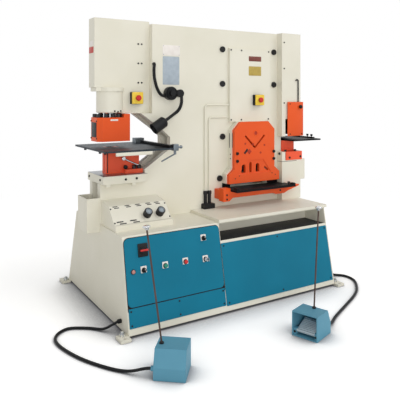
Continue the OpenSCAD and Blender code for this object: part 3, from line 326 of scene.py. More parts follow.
def coat(tree, surface, colour, gloss, relief):
    bump = addNode(tree, "ShaderNodeBump", relief)
    for socket, source in (("Base Color", colour), ("Roughness", gloss), ("Normal", bump.outputs["Normal"])):
        tree.links.new(source, surface.inputs[socket])


def sprayedEnamel(name, body, shade, worn, rough=0.38, edge=2.0, wear=0.35, peel=0.12, gleam=0.3):
    # two-pack enamel over steel: soft sheen, faint orange peel, slow colour drift, rubbed edges
    shader = {"Metallic": 0.0, "IOR": 1.5, "Specular IOR Level": gleam}
    material, tree, surface, place = startMaterial(name, shader)
    drift = noise(tree, place, 2.6, 3.0)
    speck = noise(tree, place, 70.0, 4.0)
    skin = noise(tree, place, 260.0, 1.0)  # peel drawn at 4 mm so that it shows
    soft = softNormal(tree, edge)
    flat = addNode(tree, "ShaderNodeNewGeometry").outputs["Normal"]
    turn = addNode(tree, "ShaderNodeVectorMath", {"operation": "DOT_PRODUCT", 0: soft, 1: flat})
    corner = ramp(tree, turn.outputs["Value"], 0.99, 0.86)
    broken = combine(tree, "MULTIPLY", corner, ramp(tree, speck, 0.35, 0.7))
    rubbed = combine(tree, "MULTIPLY", broken, wear)
    paint = mixColours(tree, ramp(tree, drift, 0.35, 0.65), body, shade)
    coat(tree, surface, mixColours(tree, rubbed, paint, worn),
         ramp(tree, speck, 0.3, 0.7, rough - 0.05, rough + 0.07),
         {"Strength": peel, "Distance": 0.0006, "Height": skin, "Normal": soft})
    return material


def machinedMetal(name, body, shade, rough, streak=(3.0, 90.0, 90.0), depth=0.15, metallic=1.0):
    # ground or turned steel: fine lines one way, patchy brightness
    material, tree, surface, place = startMaterial(name, {"Metallic": metallic})
    lay = addNode(tree, "ShaderNodeMapping", {"Scale": streak, "Vector": place})
    lines = noise(tree, lay.outputs["Vector"], 4.0, 5.0)
    patch = noise(tree, place, 14.0, 3.0)
    coat(tree, surface, mixColours(tree, ramp(tree, patch, 0.35, 0.68), body, shade),
         ramp(tree, lines, 0.3, 0.7, rough - 0.07, rough + 0.1),
         {"Strength": depth, "Distance": 0.0004, "Height": lines, "Normal": softNormal(tree, 1.0)})
    return material


def mouldedPlastic(name, body, shade, rough=0.45, grain=420.0, depth=0.1, gleam=0.5):
    # injection-moulded housing: fine spark texture and a slightly uneven sheen
    shader = {"Metallic": 0.0, "IOR": 1.49, "Specular IOR Level": gleam}
    material, tree, surface, place = startMaterial(name, shader)
    grit = noise(tree, place, grain, 2.0)
    drift = noise(tree, place, 30.0, 2.0)
    coat(tree, surface, mixColours(tree, ramp(tree, drift, 0.35, 0.65), body, shade),
         ramp(tree, grit, 0.3, 0.7, rough - 0.06, rough + 0.06),
         {"Strength": depth, "Distance": 0.0004, "Height": grit})
    return material


creamEnamel = sprayedEnamel("creamEnamel", "#E8E4D5", "#E2DECD", "#BFBAA8")
tealEnamel = sprayedEnamel("tealEnamel", "#107894", "#0E718C", "#0A485B", rough=0.45, wear=0.5, gleam=0.17)
pedalEnamel = sprayedEnamel("pedalEnamel", "#629FB6", "#5A96AE", "#3C7185", rough=0.45, peel=0.3)
orangeEnamel = sprayedEnamel("orangeEnamel", "#EB5C22", "#E5541E", "#B63A15", rough=0.36, wear=0.5)
redEnamel = sprayedEnamel("redEnamel", "#FA6340", "#F25A38", "#AF341D", rough=0.38, wear=0.5)
# dark red: painted shade for the section plate's holes and the boss bore, and the blade key's own colour
shadeAndKeyRed = sprayedEnamel("shadedRed", "#B83A20", "#A8331C", "#7A2413", rough=0.45)
# black satin paint, also the black of painted shade beside the flat-bar slot
blackSatinAndShade = sprayedEnamel("blackSatinAndShade", "#101114", "#0B0C0E", "#3A3C40", rough=0.5, wear=0.5, gleam=0.15)
greyPrimer = sprayedEnamel("greyPrimer", "#52565A", "#4A4E52", "#35383B", rough=0.5)
groundSteel = machinedMetal("groundSteel", "#B4B7BA", "#9FA2A6", 0.34)
tableSteel = machinedMetal("tableSteel", "#454C52", "#373D42", 0.46, (40.0, 4.0, 40.0), 0.2)
zincPlate = machinedMetal("zincPlate", "#B9BCBE", "#A2A6A8", 0.36, (30.0, 30.0, 30.0), 0.1)
chromePlate = machinedMetal("chromePlate", "#D8DADC", "#C9CBCE", 0.14, (20.0, 20.0, 20.0), 0.03)
satinSteel = machinedMetal("satinSteel", "#868E94", "#6C747A", 0.4, (30.0, 30.0, 30.0), 0.15)
castAlloy = machinedMetal("castAlloy", "#D6E1E6", "#C0CDD3", 0.46, (30.0, 30.0, 30.0), 0.25, 0.3)
# blackened steel for bolts and nuts, also the black of painted shade in the stripper guard's window
blackedSteelAndShade = machinedMetal("blackedSteelAndShade", "#121214", "#0B0B0D", 0.42, (30.0, 30.0, 30.0), 0.1, 0.3)
rustedRod = machinedMetal("rustedRod", "#5E4A43", "#4A3A35", 0.5, (60.0, 60.0, 4.0), 0.25, 0.5)
castIron = machinedMetal("castIron", "#4A5660", "#3E4952", 0.6, (60.0, 60.0, 60.0), 0.4, 0.3)
blackAbs = mouldedPlastic("blackAbs", "#0F1013", "#0B0C0E", 0.42, gleam=0.3)
# black rubber for the cords, also the black of painted shade round the control panel and at the shear
# backing
rubberAndShadeBlack = mouldedPlastic("rubberAndShadeBlack", "#121315", "#0D0E10", 0.55, 300.0, 0.2, 0.25)
yellowAbs = mouldedPlastic("yellowAbs", "#F2CF45", "#EAC53A", 0.38)
redAbs = mouldedPlastic("redAbs", "#CE2A26", "#C3221F", 0.26, 300.0, 0.03)
greenAbs = mouldedPlastic("greenAbs", "#1E8A74", "#19806A", 0.3, 300.0, 0.03)
whiteAbs = mouldedPlastic("whiteAbs", "#E9E8E4", "#E2E1DC", 0.4)
pilotLens = mouldedPlastic("pilotLens", "#C98F86", "#BD8077", 0.2, 200.0, 0.03)
plateWhite = mouldedPlastic("plateWhite", "#EFE9E2", "#E8E1DA", 0.35)
plateGrey = mouldedPlastic("plateGrey", "#AEB9C2", "#A3AFB9", 0.35)
plateRust = mouldedPlastic("plateRust", "#7A3A30", "#6E332A", 0.35)
plateRed = mouldedPlastic("plateRed", "#C63A2C", "#BC3226", 0.35)
plateAmber = mouldedPlastic("plateAmber", "#B9A04C", "#AD9444", 0.35)
darkBayFloor = mouldedPlastic("darkBayFloor", "#1D1F22", "#15171A", 0.6, 120.0, 0.5)
print("finishes mixed")


def fit(piece, finish, body="machine", replaced=()):
    piece.data.materials.clear()
    piece.data.materials.append(finish)
    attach(piece, body)
    if replaced:
        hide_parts(*replaced)
    return piece


def blackScrews(name, places, direction, radius, height, sides, body="machine"):
    return fit(capScrews(name, places, direction, radius, height, sides), blackedSteelAndShade, body)


# cords first: the same knots as the solids, in millimetres
cords = {
    "leftCable": {"node": "left_pedal_cable", "radius": 7.8, "lay": "loose",
                  "knots": [(-862, -460, 67), (-890, -450, 52), (-935, -400, 16), (-1000, -325, 9),
                            (-1110, -268, 9), (-1200, -330, 9), (-1218, -450, 9), (-1165, -650, 9),
                            (-1075, -825, 9), (-1000, -925, 14), (-940, -1004, 46), (-914, -1025, 50)]},
    "rightCable": {"node": "right_pedal_cable", "radius": 7.8, "lay": "loose",
                   "knots": [(862, -398, 62), (905, -400, 50), (985, -415, 14), (1055, -480, 9),
                             (1040, -590, 9), (930, -715, 9), (800, -805, 9), (620, -895, 9),
                             (430, -988, 9), (330, -1050, 13), (271, -1086, 38), (242, -1096, 45)]},
    "lampFlex": {"node": "lamp_conduit", "radius": 10.8, "lay": "hanging",
                 "knots": [(-443, -110, 1661), (-448, -121, 1651), (-452, -124, 1618), (-450, -124, 1573),
                           (-441, -124, 1527), (-423, -123, 1479), (-395, -121, 1444), (-362, -120, 1434)]},
}


def smoothRoute(knots, steps):
    # the same soft line through the knots as in the solids, in metres
    knots = [Vector(k) * mm for k in knots]
    line = []
    for i in range(len(knots) - 1):
        a, b, c, d = knots[max(i - 1, 0)], knots[i], knots[i + 1], knots[min(i + 2, len(knots) - 1)]
        for s in range(steps):
            t = s / steps
            square = (2 * a - 5 * b + 4 * c - d) * t * t
            cube = (3 * b - a - 3 * c + d) * t ** 3
            line.append(0.5 * (2 * b + (c - a) * t + square + cube))
    return line + [knots[-1]]


for name, cord in cords.items():
    line = smoothRoute(cord["knots"], 5)
    piece = fit(tubeAlong(name, line, cord["radius"], 5), rubberAndShadeBlack, "machine", [cord["node"]])

# finishes of the solids that show as they are
finishOf = {
    creamEnamel: "base_cabinet deck_table levelling_feet front_frame_plate rear_frame_plate punch_head "
                 "punch_cylinder punch_bolster slug_box tool_rack shear_cover shear_backing shear_cylinder "
                 "notch_housing conduit_tubes",
    tealEnamel: "control_panel lower_panel right_panel",
    pedalEnamel: "pedal_guards",
    castAlloy: "left_treadle right_treadle",
    orangeEnamel: "section_plate feed_support stripper_guard notch_guard",
    redEnamel: "die_holder notch_die",
    blackSatinAndShade: "feed_table notch_table gauge_bar",
    tableSteel: "punch_table shear_beam",
    groundSteel: "punch_ram key_switch",
    satinSteel: "gauge_stop clamp_lever",
    chromePlate: "die_lever",
    blackedSteelAndShade: "frame_bolts dies punch_tool lower_blade",
    rustedRod: "pedal_rods",
    blackAbs: "deck_socket lamp_base lamp_arm cable_glands mode_selector function_selector",
    yellowAbs: "stop_boxes",
    redAbs: "head_stop_button cover_stop_button red_button main_switch_handle",
    greenAbs: "green_button",
    whiteAbs: "control_bezels",
    greyPrimer: "oil_tank",
    castIron: "pump_motor",
}
for finish, names in finishOf.items():
    for node in names.split():
        nodes[node].data.materials.clear()
        nodes[node].data.materials.append(finish)
print("solids finished")

# frame: tie bolt caps in front, nuts behind, two bare plates beside the lamp
tieBolts = {"spots": [(139, 1792), (139, 1528), (139, 1125), (113, 808), (641, 1792), (641, 1528)],
            "face": 100, "cap": (22.6, 13, 32), "nut": (24, 14)}
face = tieBolts["face"]
blackScrews("tieBoltCaps", [(x, -face, z) for x, z in tieBolts["spots"]], toFront, *tieBolts["cap"])
nuts = hexNuts("tieBoltNuts", [(x, face, z) for x, z in tieBolts["spots"]], toRear, *tieBolts["nut"])
fit(nuts, blackedSteelAndShade)
framePlates = {"upper": (-373, -231, 1725, 1800), "lower": (-371, -236, 1516, 1719), "corner": 5,
               "depth": (-101.4, -99.8), "rivetInset": 7, "rivetFoot": -101.2, "rivet": (3, 1.4, 12)}
inset = framePlates["rivetInset"]
rivets = []
for name, finish in (("upper", plateWhite), ("lower", plateGrey)):
    x0, x1, z0, z1 = framePlates[name]
    piece = thinPlate(name + "Plate", framePlates[name], framePlates["corner"], *framePlates["depth"], 0.4)
    fit(piece, finish)
    rivets += [(x, framePlates["rivetFoot"], z) for x in (x0 + inset, x1 - inset)
               for z in (z0 + inset, z1 - inset)]
fit(capScrews("plateRivets", rivets, toFront, *framePlates["rivet"]), zincPlate)

# head, cylinder nose, shear cover, notch housing: small black screws and bare plates
smallScrew = (6, 4, 16)
smallScrews = {
    "headScrews": [(x, -54, z) for z in (1800, 1664, 1528) for x in (-541, -515)],
    "noseScrews": [(-733, -92.4, 1331), (-709, -89.4, 1326), (-685, -79.8, 1331)],
    "coverScrews": [(304, -123, 1790), (572, -123, 1790), (302, -123, 1252), (569, -123, 1252),
                    (206, -123, 1790), (206, -123, 1252)],
    "housingScrews": [(702, -162, 1870), (702, -162, 1659), (702, -162, 1380)],
}
for name, places in smallScrews.items():
    blackScrews(name, places, toFront, *smallScrew)
coverPlates = {"dark": (375, 497, 1709, 1748), "pale": (374, 496, 1596, 1669), "depth": (-124.2, -122.8)}
for name, finish in (("dark", plateRust), ("pale", plateAmber)):
    fit(thinPlate(name + "CoverPlate", coverPlates[name], 4, *coverPlates["depth"], 0.3), finish)
sidePlates = {"pale": (-34, 34, 1774, 1809), "red": (-37, 50, 1726, 1768), "depth": (-864.2, -862.8)}
for name, finish in (("pale", plateWhite), ("red", plateRed)):
    fit(thinPlate(name + "SidePlate", sidePlates[name], 4, *sidePlates["depth"], 0.3, "X"), finish)
print("frame dressed")

# cabinet: black band round the control panel as painted shade of its gap, panel screws, dark sheet on the
# bay floor, levelling bolts, rear covers
# black band behind the control panel's top and sides: painted shade of the gap round it
panelGapShade = {"panel": (-831, -144, 150, 573), "rim": 3.5, "thick": 2.2, "corners": (2, 33)}
x0, x1, v0, v1 = panelGapShade["panel"]
rim = panelGapShade["rim"]
gapShadePoints = roundedPoints((x0 - rim, x1 + rim, v0, v1 + rim), *panelGapShade["corners"])
fit(ontoSlope(outline("panelGapShade", gapShadePoints, -panelGapShade["thick"], -0.2, 0)), rubberAndShadeBlack)
panelFace = -4
panelScrews = {"right": [(-118, 66), (-118, 432), (345, 432), (808, 432), (808, 66), (345, 66)],
               "left": [(-816, 70), (-816, 150), (-159, 70), (-159, 150), (-488, 70), (-488, 150)],
               "size": (5.5, 3, 14)}
places = [(x, panelFace, v) for x, v in panelScrews["right"] + panelScrews["left"]]
fit(ontoSlope(capScrews("panelScrews", places, toFront, *panelScrews["size"])), blackedSteelAndShade)
# a thin dark sheet lies on the bay floor
storageBay = {"darkSheet": ((-134, -480, 453.2), (830, -266, 456.5)), "darkSheetEdge": 1.5}
fit(slab("bayFloorSheet", *storageBay["darkSheet"], storageBay["darkSheetEdge"]), darkBayFloor)
levelBolts = {"nuts": [(x, y, 18) for x in (-872, 872) for y in (-552, 552)], "nut": (19, 14),
              "studs": [(x, y, 31) for x in (-872, 872) for y in (-552, 552)], "stud": (10.6, 14, 20)}
fit(hexNuts("levelNuts", levelBolts["nuts"], up, *levelBolts["nut"]), zincPlate)
fit(capScrews("levelStuds", levelBolts["studs"], up, *levelBolts["stud"]), zincPlate)
rearCovers = {"right": (60, 760), "left": (-760, -60), "low": 90, "high": 500, "corner": 18, "thick": 4,
              "screwInset": 22, "screw": (6, 3.5, 14), "louvres": 7, "firstLouvre": 170, "pitch": 34,
              "foot": 150, "crest": 144, "rise": 15, "louvreDepth": (3.8, 9), "slit": 146,
              "slitDepth": (3.6, 7.6), "slitHeight": (-4, 0.5)}
low, high, inset = rearCovers["low"], rearCovers["high"], rearCovers["screwInset"]
foot, crest, slit = rearCovers["foot"], rearCovers["crest"], rearCovers["slit"]
(slitBack, slitFace), (slitLow, slitHigh) = rearCovers["slitDepth"], rearCovers["slitHeight"]
for side in ("right", "left"):
    x0, x1 = rearCovers[side]
    mid = (x0 + x1) / 2
    points = roundedPoints((x0, x1, low, high), rearCovers["corner"], rearCovers["corner"])
    fit(ontoRear(outline(side + "RearCover", points, 0.2, rearCovers["thick"], 0.8)), creamEnamel)
    places = [(x, rearCovers["thick"], v) for x in (x0 + inset, mid, x1 - inset)
              for v in (low + inset, high - inset)]
    fit(ontoRear(capScrews(side + "RearScrews", places, toRear, *rearCovers["screw"])), blackedSteelAndShade)
    louvres, slits = [], []
    for i in range(rearCovers["louvres"]):
        v = rearCovers["firstLouvre"] + i * rearCovers["pitch"]
        ridge = v + rearCovers["rise"]
        points = [(mid - foot, v), (mid + foot, v), (mid + crest, ridge), (mid - crest, ridge)]
        louvres.append(outline("louvre" + str(i), points, *rearCovers["louvreDepth"], 2.0))
        slits.append(slab("slit" + str(i), (mid - slit, slitBack, v + slitLow),
                          (mid + slit, slitFace, v + slitHigh), 0.4))
    fit(ontoRear(joinPieces(side + "Louvres", louvres)), creamEnamel)
    fit(ontoRear(joinPieces(side + "LouvreSlits", slits)), rubberAndShadeBlack)
print("cabinet dressed")

# control station on the sloping panel: x and height along the slope, forms in rings
controls = {"main": (-711, 493), "pilot": (-784, 374), "mode": (-714, 374), "green": (-566, 377),
            "red": (-421, 378), "function": (-271, 504), "key": (-271, 370)}
deviceSet = {"legend": (20, 16, 24), "legendDepth": (-6.4, -3.9),
             "bezel": [(15.6, 0), (15.6, 5), (14.4, 7.2), (11.7, 7.2), (11.6, 0.4)],
             "pointerHalf": 1.1, "pointerHeight": (1, 11.6), "pointerDepth": (-29.5, -28.6),
             "cap": [(10.4, 6.6), (10.4, 12), (13, 12), (13, 14.4), (12.2, 15.6), (9.8, 16), (9.4, 15.4)]}
half, below, above = deviceSet["legend"]
legends, rings = [], []
for name in ("mode", "green", "red", "function", "key"):
    x, v = controls[name]
    legends.append(thinPlate("legend" + name, (x - half, x + half, v - below, v + above), 4,
                             *deviceSet["legendDepth"], 0.5))
    rings.append(turned("bezel" + name, deviceSet["bezel"], (x, panelFace, v), toFront))
fit(ontoSlope(joinPieces("legendPlates", legends)), plateWhite, "machine", ["control_bezels"])
fit(ontoSlope(joinPieces("bezelRings", rings)), blackAbs)
mainSwitch = {"backHalf": (33, 40), "backDepth": (-12, -3.9), "collarFoot": -11.6,
              "collar": [(27, 0), (27, 1.6), (25.5, 2.2)], "dial": [(22, 12.4), (22, 18.6), (20.5, 20)],
              "barHalf": (26, 5.6), "barDepth": (-37.6, -19.6)}


def blockRound(name, place, half, depth, edge):
    # block centred on a place on the panel, between two depths
    (x, v), (halfX, halfV), (near, far) = place, half, depth
    return slab(name, (x - halfX, near, v - halfV), (x + halfX, far, v + halfV), edge, 3)


x, v = controls["main"]
switchBack = [blockRound("switchBack", (x, v), mainSwitch["backHalf"], mainSwitch["backDepth"], 3),
              turned("switchCollar", mainSwitch["collar"], (x, mainSwitch["collarFoot"], v), toFront, 40)]
fit(ontoSlope(joinPieces("mainSwitchBack", switchBack)), blackAbs)
dial = turned("mainSwitchDial", mainSwitch["dial"], (x, 0, v), toFront, 40)
fit(ontoSlope(dial), blackAbs, "main_switch_handle", ["main_switch_handle"])
bar = blockRound("mainSwitchBar", (x, v), mainSwitch["barHalf"], mainSwitch["barDepth"], 2.5)
fit(ontoSlope(bar), redAbs, "main_switch_handle")
pilot = {"pilotCollar": [(15, 0), (15, 4), (13.6, 6), (11, 6), (11, 1)],
         "pilotGlass": [(11.6, 1), (11.6, 7), (10.4, 9.6), (7.4, 11.4), (3.5, 12.2)]}
x, v = controls["pilot"]
for name, finish in (("pilotCollar", blackAbs), ("pilotGlass", pilotLens)):
    fit(ontoSlope(turned(name, pilot[name], (x, panelFace, v), toFront)), finish)
for name, finish in (("green", greenAbs), ("red", redAbs)):
    x, v = controls[name]
    cap = turned(name + "Cap", deviceSet["cap"], (x, panelFace, v), toFront)
    fit(ontoSlope(cap), finish, name + "_button", [name + "_button"])
half = deviceSet["pointerHalf"]
(low, high), (near, far) = deviceSet["pointerHeight"], deviceSet["pointerDepth"]
for name in ("mode", "function"):
    x, v = controls[name]
    pointer = slab(name + "Pointer", (x - half, near, v + low), (x + half, far, v + high), 0.2)
    fit(ontoSlope(pointer), whiteAbs, name + "_selector")
print("controls dressed")

# stop boxes: black case, yellow lid, collar under the mushroom
stopBoxes = {"left": (-563, -54, 1420), "right": (454, -123, 1404), "half": 42, "lidHalf": 41.2, "case": 31,
             "depth": 45, "collar": [(17.5, 0), (17.5, 3.2), (15.5, 4.6)]}
half, lidHalf = stopBoxes["half"], stopBoxes["lidHalf"]
cases, lids, collars = [], [], []
for side in ("left", "right"):
    x, y, z = stopBoxes[side]
    parting, front = y - stopBoxes["case"], y - stopBoxes["depth"]
    cases.append(slab(side + "Case", (x - half, parting, z - half), (x + half, y + 0.2, z + half), 3, 3))
    lids.append(slab(side + "Lid", (x - lidHalf, front, z - lidHalf),
                     (x + lidHalf, parting + 0.4, z + lidHalf), 5, 4))
    collars.append(turned(side + "Collar", stopBoxes["collar"], (x, front, z), toFront, 36))
fit(joinPieces("stopCases", cases), blackAbs, "machine", ["stop_boxes"])
fit(joinPieces("stopLids", lids), yellowAbs)
fit(joinPieces("stopCollars", collars), blackAbs)

# punch station: guard nuts, black sheet as painted shade in the guard's side window, table rail, gauge,
# bolster and die holder fittings
guardSet = {"roof": 1287, "nuts": [(-777, -55), (-777, 55), (-687, 55), (-687, -55)], "nut": (18, 28),
            "edgeNuts": [(-826, -40), (-826, 40), (-732, -66)], "edgeNut": (16, 24),
            "screws": [(-846.5, y, z) for y in (-53, 53) for z in (1146, 1263)], "screw": (5.5, 4, 16),
            "windowShade": ((-848, -46, 1153), (-846.3, 46, 1254)),
            "slot": ((-760, -86.8, 1264), (-705, -85.8, 1275))}
for name, spots, size in (("guardNuts", "nuts", "nut"), ("guardFrontNuts", "edgeNuts", "edgeNut")):
    places = [(x, y, guardSet["roof"]) for x, y in guardSet[spots]]
    fit(hexNuts(name, places, up, *guardSet[size]), blackedSteelAndShade, "stripper_guard")
blackScrews("guardScrews", guardSet["screws"], toLeft, *guardSet["screw"], "stripper_guard")
# flat black sheet across the guard's side window: painted shade of its inside
fit(slab("guardWindowShade", *guardSet["windowShade"], 0.3), blackedSteelAndShade, "stripper_guard")
fit(slab("guardSlot", *guardSet["slot"], 0.4), plateWhite, "stripper_guard")
tableSet = {"rail": ((-806, -301.5, 1046), (-549, -288.5, 1069.1)), "screw": (9, 12, 16),
            "screws": [(-868, 114, 1069), (-868, -176, 1069), (-862, -250, 1069)]}
fit(slab("tableRail", *tableSet["rail"], 2), creamEnamel)
blackScrews("tableUnderScrews", tableSet["screws"], down, *tableSet["screw"])
gauge = {"bar": ((-420, -298, 1081), (-392, 298, 1101)),
         "scale": ((-413, -285, 1100.8), (-403, 285, 1101.25)),
         "clamp": ((-390, -300, 1060), (-350, -260, 1105)), "screwFoot": (-350, -280, 1083),
         "screw": [(8, 0), (8, 22), (11, 22), (11, 32), (9.5, 34)]}
fit(slab("gaugeRail", *gauge["bar"], 1.5), blackSatinAndShade, "machine", ["gauge_bar"])
fit(slab("gaugeScale", *gauge["scale"], 0), groundSteel)
clampParts = [slab("clampBlock", *gauge["clamp"], 4, 3),
              turned("clampScrew", gauge["screw"], gauge["screwFoot"], toRight, 24, 0.5)]
fit(joinPieces("gaugeClamp", clampParts), satinSteel)
bolsterSet = {"wear": ((-836, -150, 897.7), (-514, 150, 899)), "screw": (8, 5, 18),
              "hooks": [((-814, -149, 826), (-784, -118, 850.2)), ((-630, -149, 826), (-600, -118, 850.2))],
              "screws": [(-677, -151, 871), (-597, -151, 872)],
              "endScrews": [(-837, 117, 872), (-837, -98, 872)]}
fit(slab("bolsterWear", *bolsterSet["wear"], 0.4), groundSteel)
hooks = [slab("hook", *corners, 3) for corners in bolsterSet["hooks"]]
fit(joinPieces("bolsterHooks", hooks), creamEnamel)
blackScrews("bolsterScrews", bolsterSet["screws"], toFront, *bolsterSet["screw"])
blackScrews("bolsterEndScrews", bolsterSet["endScrews"], toLeft, *bolsterSet["screw"])
holderSet = {"groove": ((-766, -37.5, 906), (-759, -36.5, 1062)), "nut": (15, 24),
             "nuts": [(x, y, 926) for y in (-60, 60) for x in (-574, -538)], "knobFoot": (-636, -37, 940),
             "knob": [(7, 0), (7, 8), (14, 9), (14, 22), (12, 25), (6, 26)]}
fit(slab("holderGroove", *holderSet["groove"], 0.3), blackedSteelAndShade)
fit(hexNuts("holderNuts", holderSet["nuts"], up, *holderSet["nut"]), blackedSteelAndShade)
fit(turned("holderKnob", holderSet["knob"], holderSet["knobFoot"], toFront, 24, 0.6), blackAbs)
lever = {"at": (-650, -37, 1000), "arm": 132, "drop": 26, "standOff": 12, "pin": [(7.8, -19), (7.8, 0)],
         "hub": [(14.4, 0.5), (14.4, 17), (12.5, 20.4), (5, 20.6)],
         "knob": [(5, -10), (8.6, -8), (10.8, -2.5), (10.8, 3), (8.4, 8), (4, 10.6)]}
drop = math.radians(lever["drop"])
reach = Vector((math.cos(drop), 0, -math.sin(drop)))
root = Vector(lever["at"]) + Vector((0, -lever["standOff"], 0))
leverParts = [turned("leverHub", lever["hub"], lever["at"], toFront, 32, 0.4),
              turned("leverArm", [(6.4, 0), (5.8, 60), (5.8, lever["arm"])], root, reach, 20),
              turned("leverPin", lever["pin"], lever["at"], toFront, 24, 0.4)]
fit(joinPieces("dieLeverArm", leverParts), chromePlate, "die_lever", ["die_lever"])
fit(turned("dieLeverKnob", lever["knob"], root + reach * lever["arm"], reach, 24), blackAbs, "die_lever")
print("punch station dressed")

# tool rack: slots along its edge and foot, faces of the spare dies, screws at its ends
upperSlots, lowerSlots = (-806, -722, -648, -572, -508), (-810, -718)
rackSet = {"rows": [(upperSlots, 0, 34, -8, -2), (upperSlots, 8, 34, -19, -13),
                    (lowerSlots, 0, 46, -124, -116), (lowerSlots, 18, 46, -138, -131)],
           "spares": [(-590, -92.4, 43), (-497, -92.4, 43)],
           "spare": [(20, 0), (20, 0.9), (16.5, 0.9), (14.2, -2)],
           "screws": [(x, y, 0) for x in (-824, -432) for y in (-20, -126)], "screw": (5, 3, 14)}
slots = [slab("slot", (x + shift, low, -0.5), (x + shift + length, high, 0.7), 0.3)
         for starts, shift, length, low, high in rackSet["rows"] for x in starts]
fit(ontoRack(joinPieces("rackSlots", slots)), rubberAndShadeBlack)
faces = [turned("spareFace", rackSet["spare"], place, up, 40) for place in rackSet["spares"]]
fit(ontoRack(joinPieces("spareDieFaces", faces)), satinSteel)
fit(ontoRack(capScrews("rackScrews", rackSet["screws"], up, *rackSet["screw"])), blackedSteelAndShade)
print("tool rack dressed")

# shear station: section plate bolts, holes painted dark as their shade, insert, painted shade in a backing
# slot and a gap, feed table stops
sectionSet = {"bolts": [(223, 997), (223, 939), (577, 997), (577, 940)], "bolt": (12, 9, 24),
              "holes": [(485, 1051), (299, 1069), (447, 994), (374, 1062)], "hole": (8.5, 0.8, 18),
              "pins": [(206, 808), (244, 826), (561, 826), (595, 811)], "pin": (4.5, 0.8, 14), "front": -180,
              "bossAt": (399, 1147), "boss": [(21, 0), (21, 2), (19.5, 3.4), (15, 3.4), (14, 0.5)],
              "bore": [(14.2, 0.2), (14.2, 0.9), (12, 0.9)], "key": (337, 1007), "insert": (306, 1009)}
front = sectionSet["front"]
# the holes are flat dark red discs on the face: painted shade inside them
for name, finish in (("bolt", blackedSteelAndShade), ("hole", shadeAndKeyRed), ("pin", blackedSteelAndShade)):
    places = [(x, front, z) for x, z in sectionSet[name + "s"]]
    fit(capScrews("section" + name.title() + "s", places, toFront, *sectionSet[name]), finish)
x, z = sectionSet["bossAt"]
fit(turned("sectionBoss", sectionSet["boss"], (x, front, z), toFront), orangeEnamel)
# dark red ring in the boss: painted shade of its bore
fit(turned("bossBore", sectionSet["bore"], (x + 1, front, z), toFront, 28), shadeAndKeyRed)
x, z = sectionSet["key"]
keyPoints = [(x, z - 22), (x + 22, z), (x, z + 22), (x - 22, z)]
fit(outline("bladeKey", keyPoints, front - 1.2, front + 0.3, 0.5), shadeAndKeyRed)
x, z = sectionSet["insert"]
insertPoints = [(x - 22, z - 11), (x - 9, z - 22), (x + 20, z + 12), (x + 8, z + 23)]
fit(outline("bladeInsert", insertPoints, front - 1.4, front + 0.3, 0.4), blackedSteelAndShade)
backingSet = {"backingSlotShade": ((189.4, -129, 1040), (190.2, -122, 1150)),
              "plateGapShade": ((197.4, -156, 1042), (198.2, -148, 1152)),
              "screws": [(190, -138, 990), (190, -138, 958)], "screw": (4.5, 2.5, 14),
              "slotShadeStrips": [((138, -101.6, 735.4), (211, -99.8, 769)),
                         ((573, -101.6, 735.4), (678, -99.8, 769))]}
# black strips: painted shade in a slot of the backing and in the gap between backing and section plate
for name in ("backingSlotShade", "plateGapShade"):
    fit(slab(name, *backingSet[name], 0.2), rubberAndShadeBlack)
blackScrews("backingScrews", backingSet["screws"], toLeft, *backingSet["screw"])
# thin black plates on the frame face beside the flat-bar slot: painted shade under the section plate
slotShadeStrips = [slab("slotShadeStrip", *corners, 0.4) for corners in backingSet["slotShadeStrips"]]
fit(joinPieces("flatSlotShade", slotShadeStrips), blackSatinAndShade)
feedSet = {"left": ((137, -299, 735), (160, -255, 756)), "right": ((672, -299, 735), (702, -262, 752)),
           "fence": ((160, -299, 735), (672, -291, 741)), "rule": ((166, -286, 734.8), (668, -272, 735.3)),
           "knobFoot": (650, -278, 735), "knob": [(5, 0), (5, 14), (11, 15), (11, 26), (9, 29)],
           "screws": [(100, -222, 700), (100, -222, 668), (610, -222, 690)], "screw": (7, 4, 16)}
stops = [slab("feedStopLeft", *feedSet["left"], 2), slab("feedStopRight", *feedSet["right"], 2),
         slab("feedFence", *feedSet["fence"], 1.2)]
fit(joinPieces("feedStops", stops), blackSatinAndShade)
fit(turned("feedKnob", feedSet["knob"], feedSet["knobFoot"], up, 20, 0.5), blackAbs)
fit(slab("feedRule", *feedSet["rule"], 0), groundSteel)
blackScrews("supportScrews", feedSet["screws"], toFront, *feedSet["screw"])
print("shear station dressed")

# notch station: guard sheet, lifting rod and knob, die bolts, jaw seam, table fence
notchSet = {"x": (728, 894), "out": 177, "sheet": 6, "low": 1110, "high": 1388, "rod": (848, -167.3),
            "rodHeights": (1126, 1250, 1400, 1560), "rodRadius": 5, "hook": 12, "knobAt": (857, 1348),
            "knob": [(7, -1), (7, 5), (15, 6), (15, 17), (13, 20), (6, 20.6)],
            "screws": [(752, -177, 1372), (752, -177, 1126), (878, -177, 1126)], "screw": (5, 3, 14)}
x0, x1 = notchSet["x"]
out, inner = notchSet["out"], notchSet["out"] - notchSet["sheet"]
web = x1 - notchSet["sheet"]
hoodPoints = [(x0, -out), (x1, -out), (x1, out), (x0, out),
              (x0, inner), (web, inner), (web, -inner), (x0, -inner)]
hood = outline("notchHood", hoodPoints, notchSet["low"], notchSet["high"], 1.6, "Z")
fit(hood, orangeEnamel, "notch_guard", ["notch_guard"])
rodX, rodY = notchSet["rod"]
bend, rodTop = notchSet["hook"], notchSet["rodHeights"][-1]
rodLine = [(rodX, rodY, z) for z in notchSet["rodHeights"]]
for angle in (math.radians(30 * i) for i in range(1, 7)):
    rodLine.append((rodX - bend + bend * math.cos(angle), rodY, rodTop + bend * math.sin(angle)))
fit(bentRod("notchLiftRod", rodLine, notchSet["rodRadius"]), blackedSteelAndShade, "notch_guard")
x, z = notchSet["knobAt"]
fit(turned("notchKnob", notchSet["knob"], (x, -out, z), toFront, 10, 0.8), blackAbs, "notch_guard")
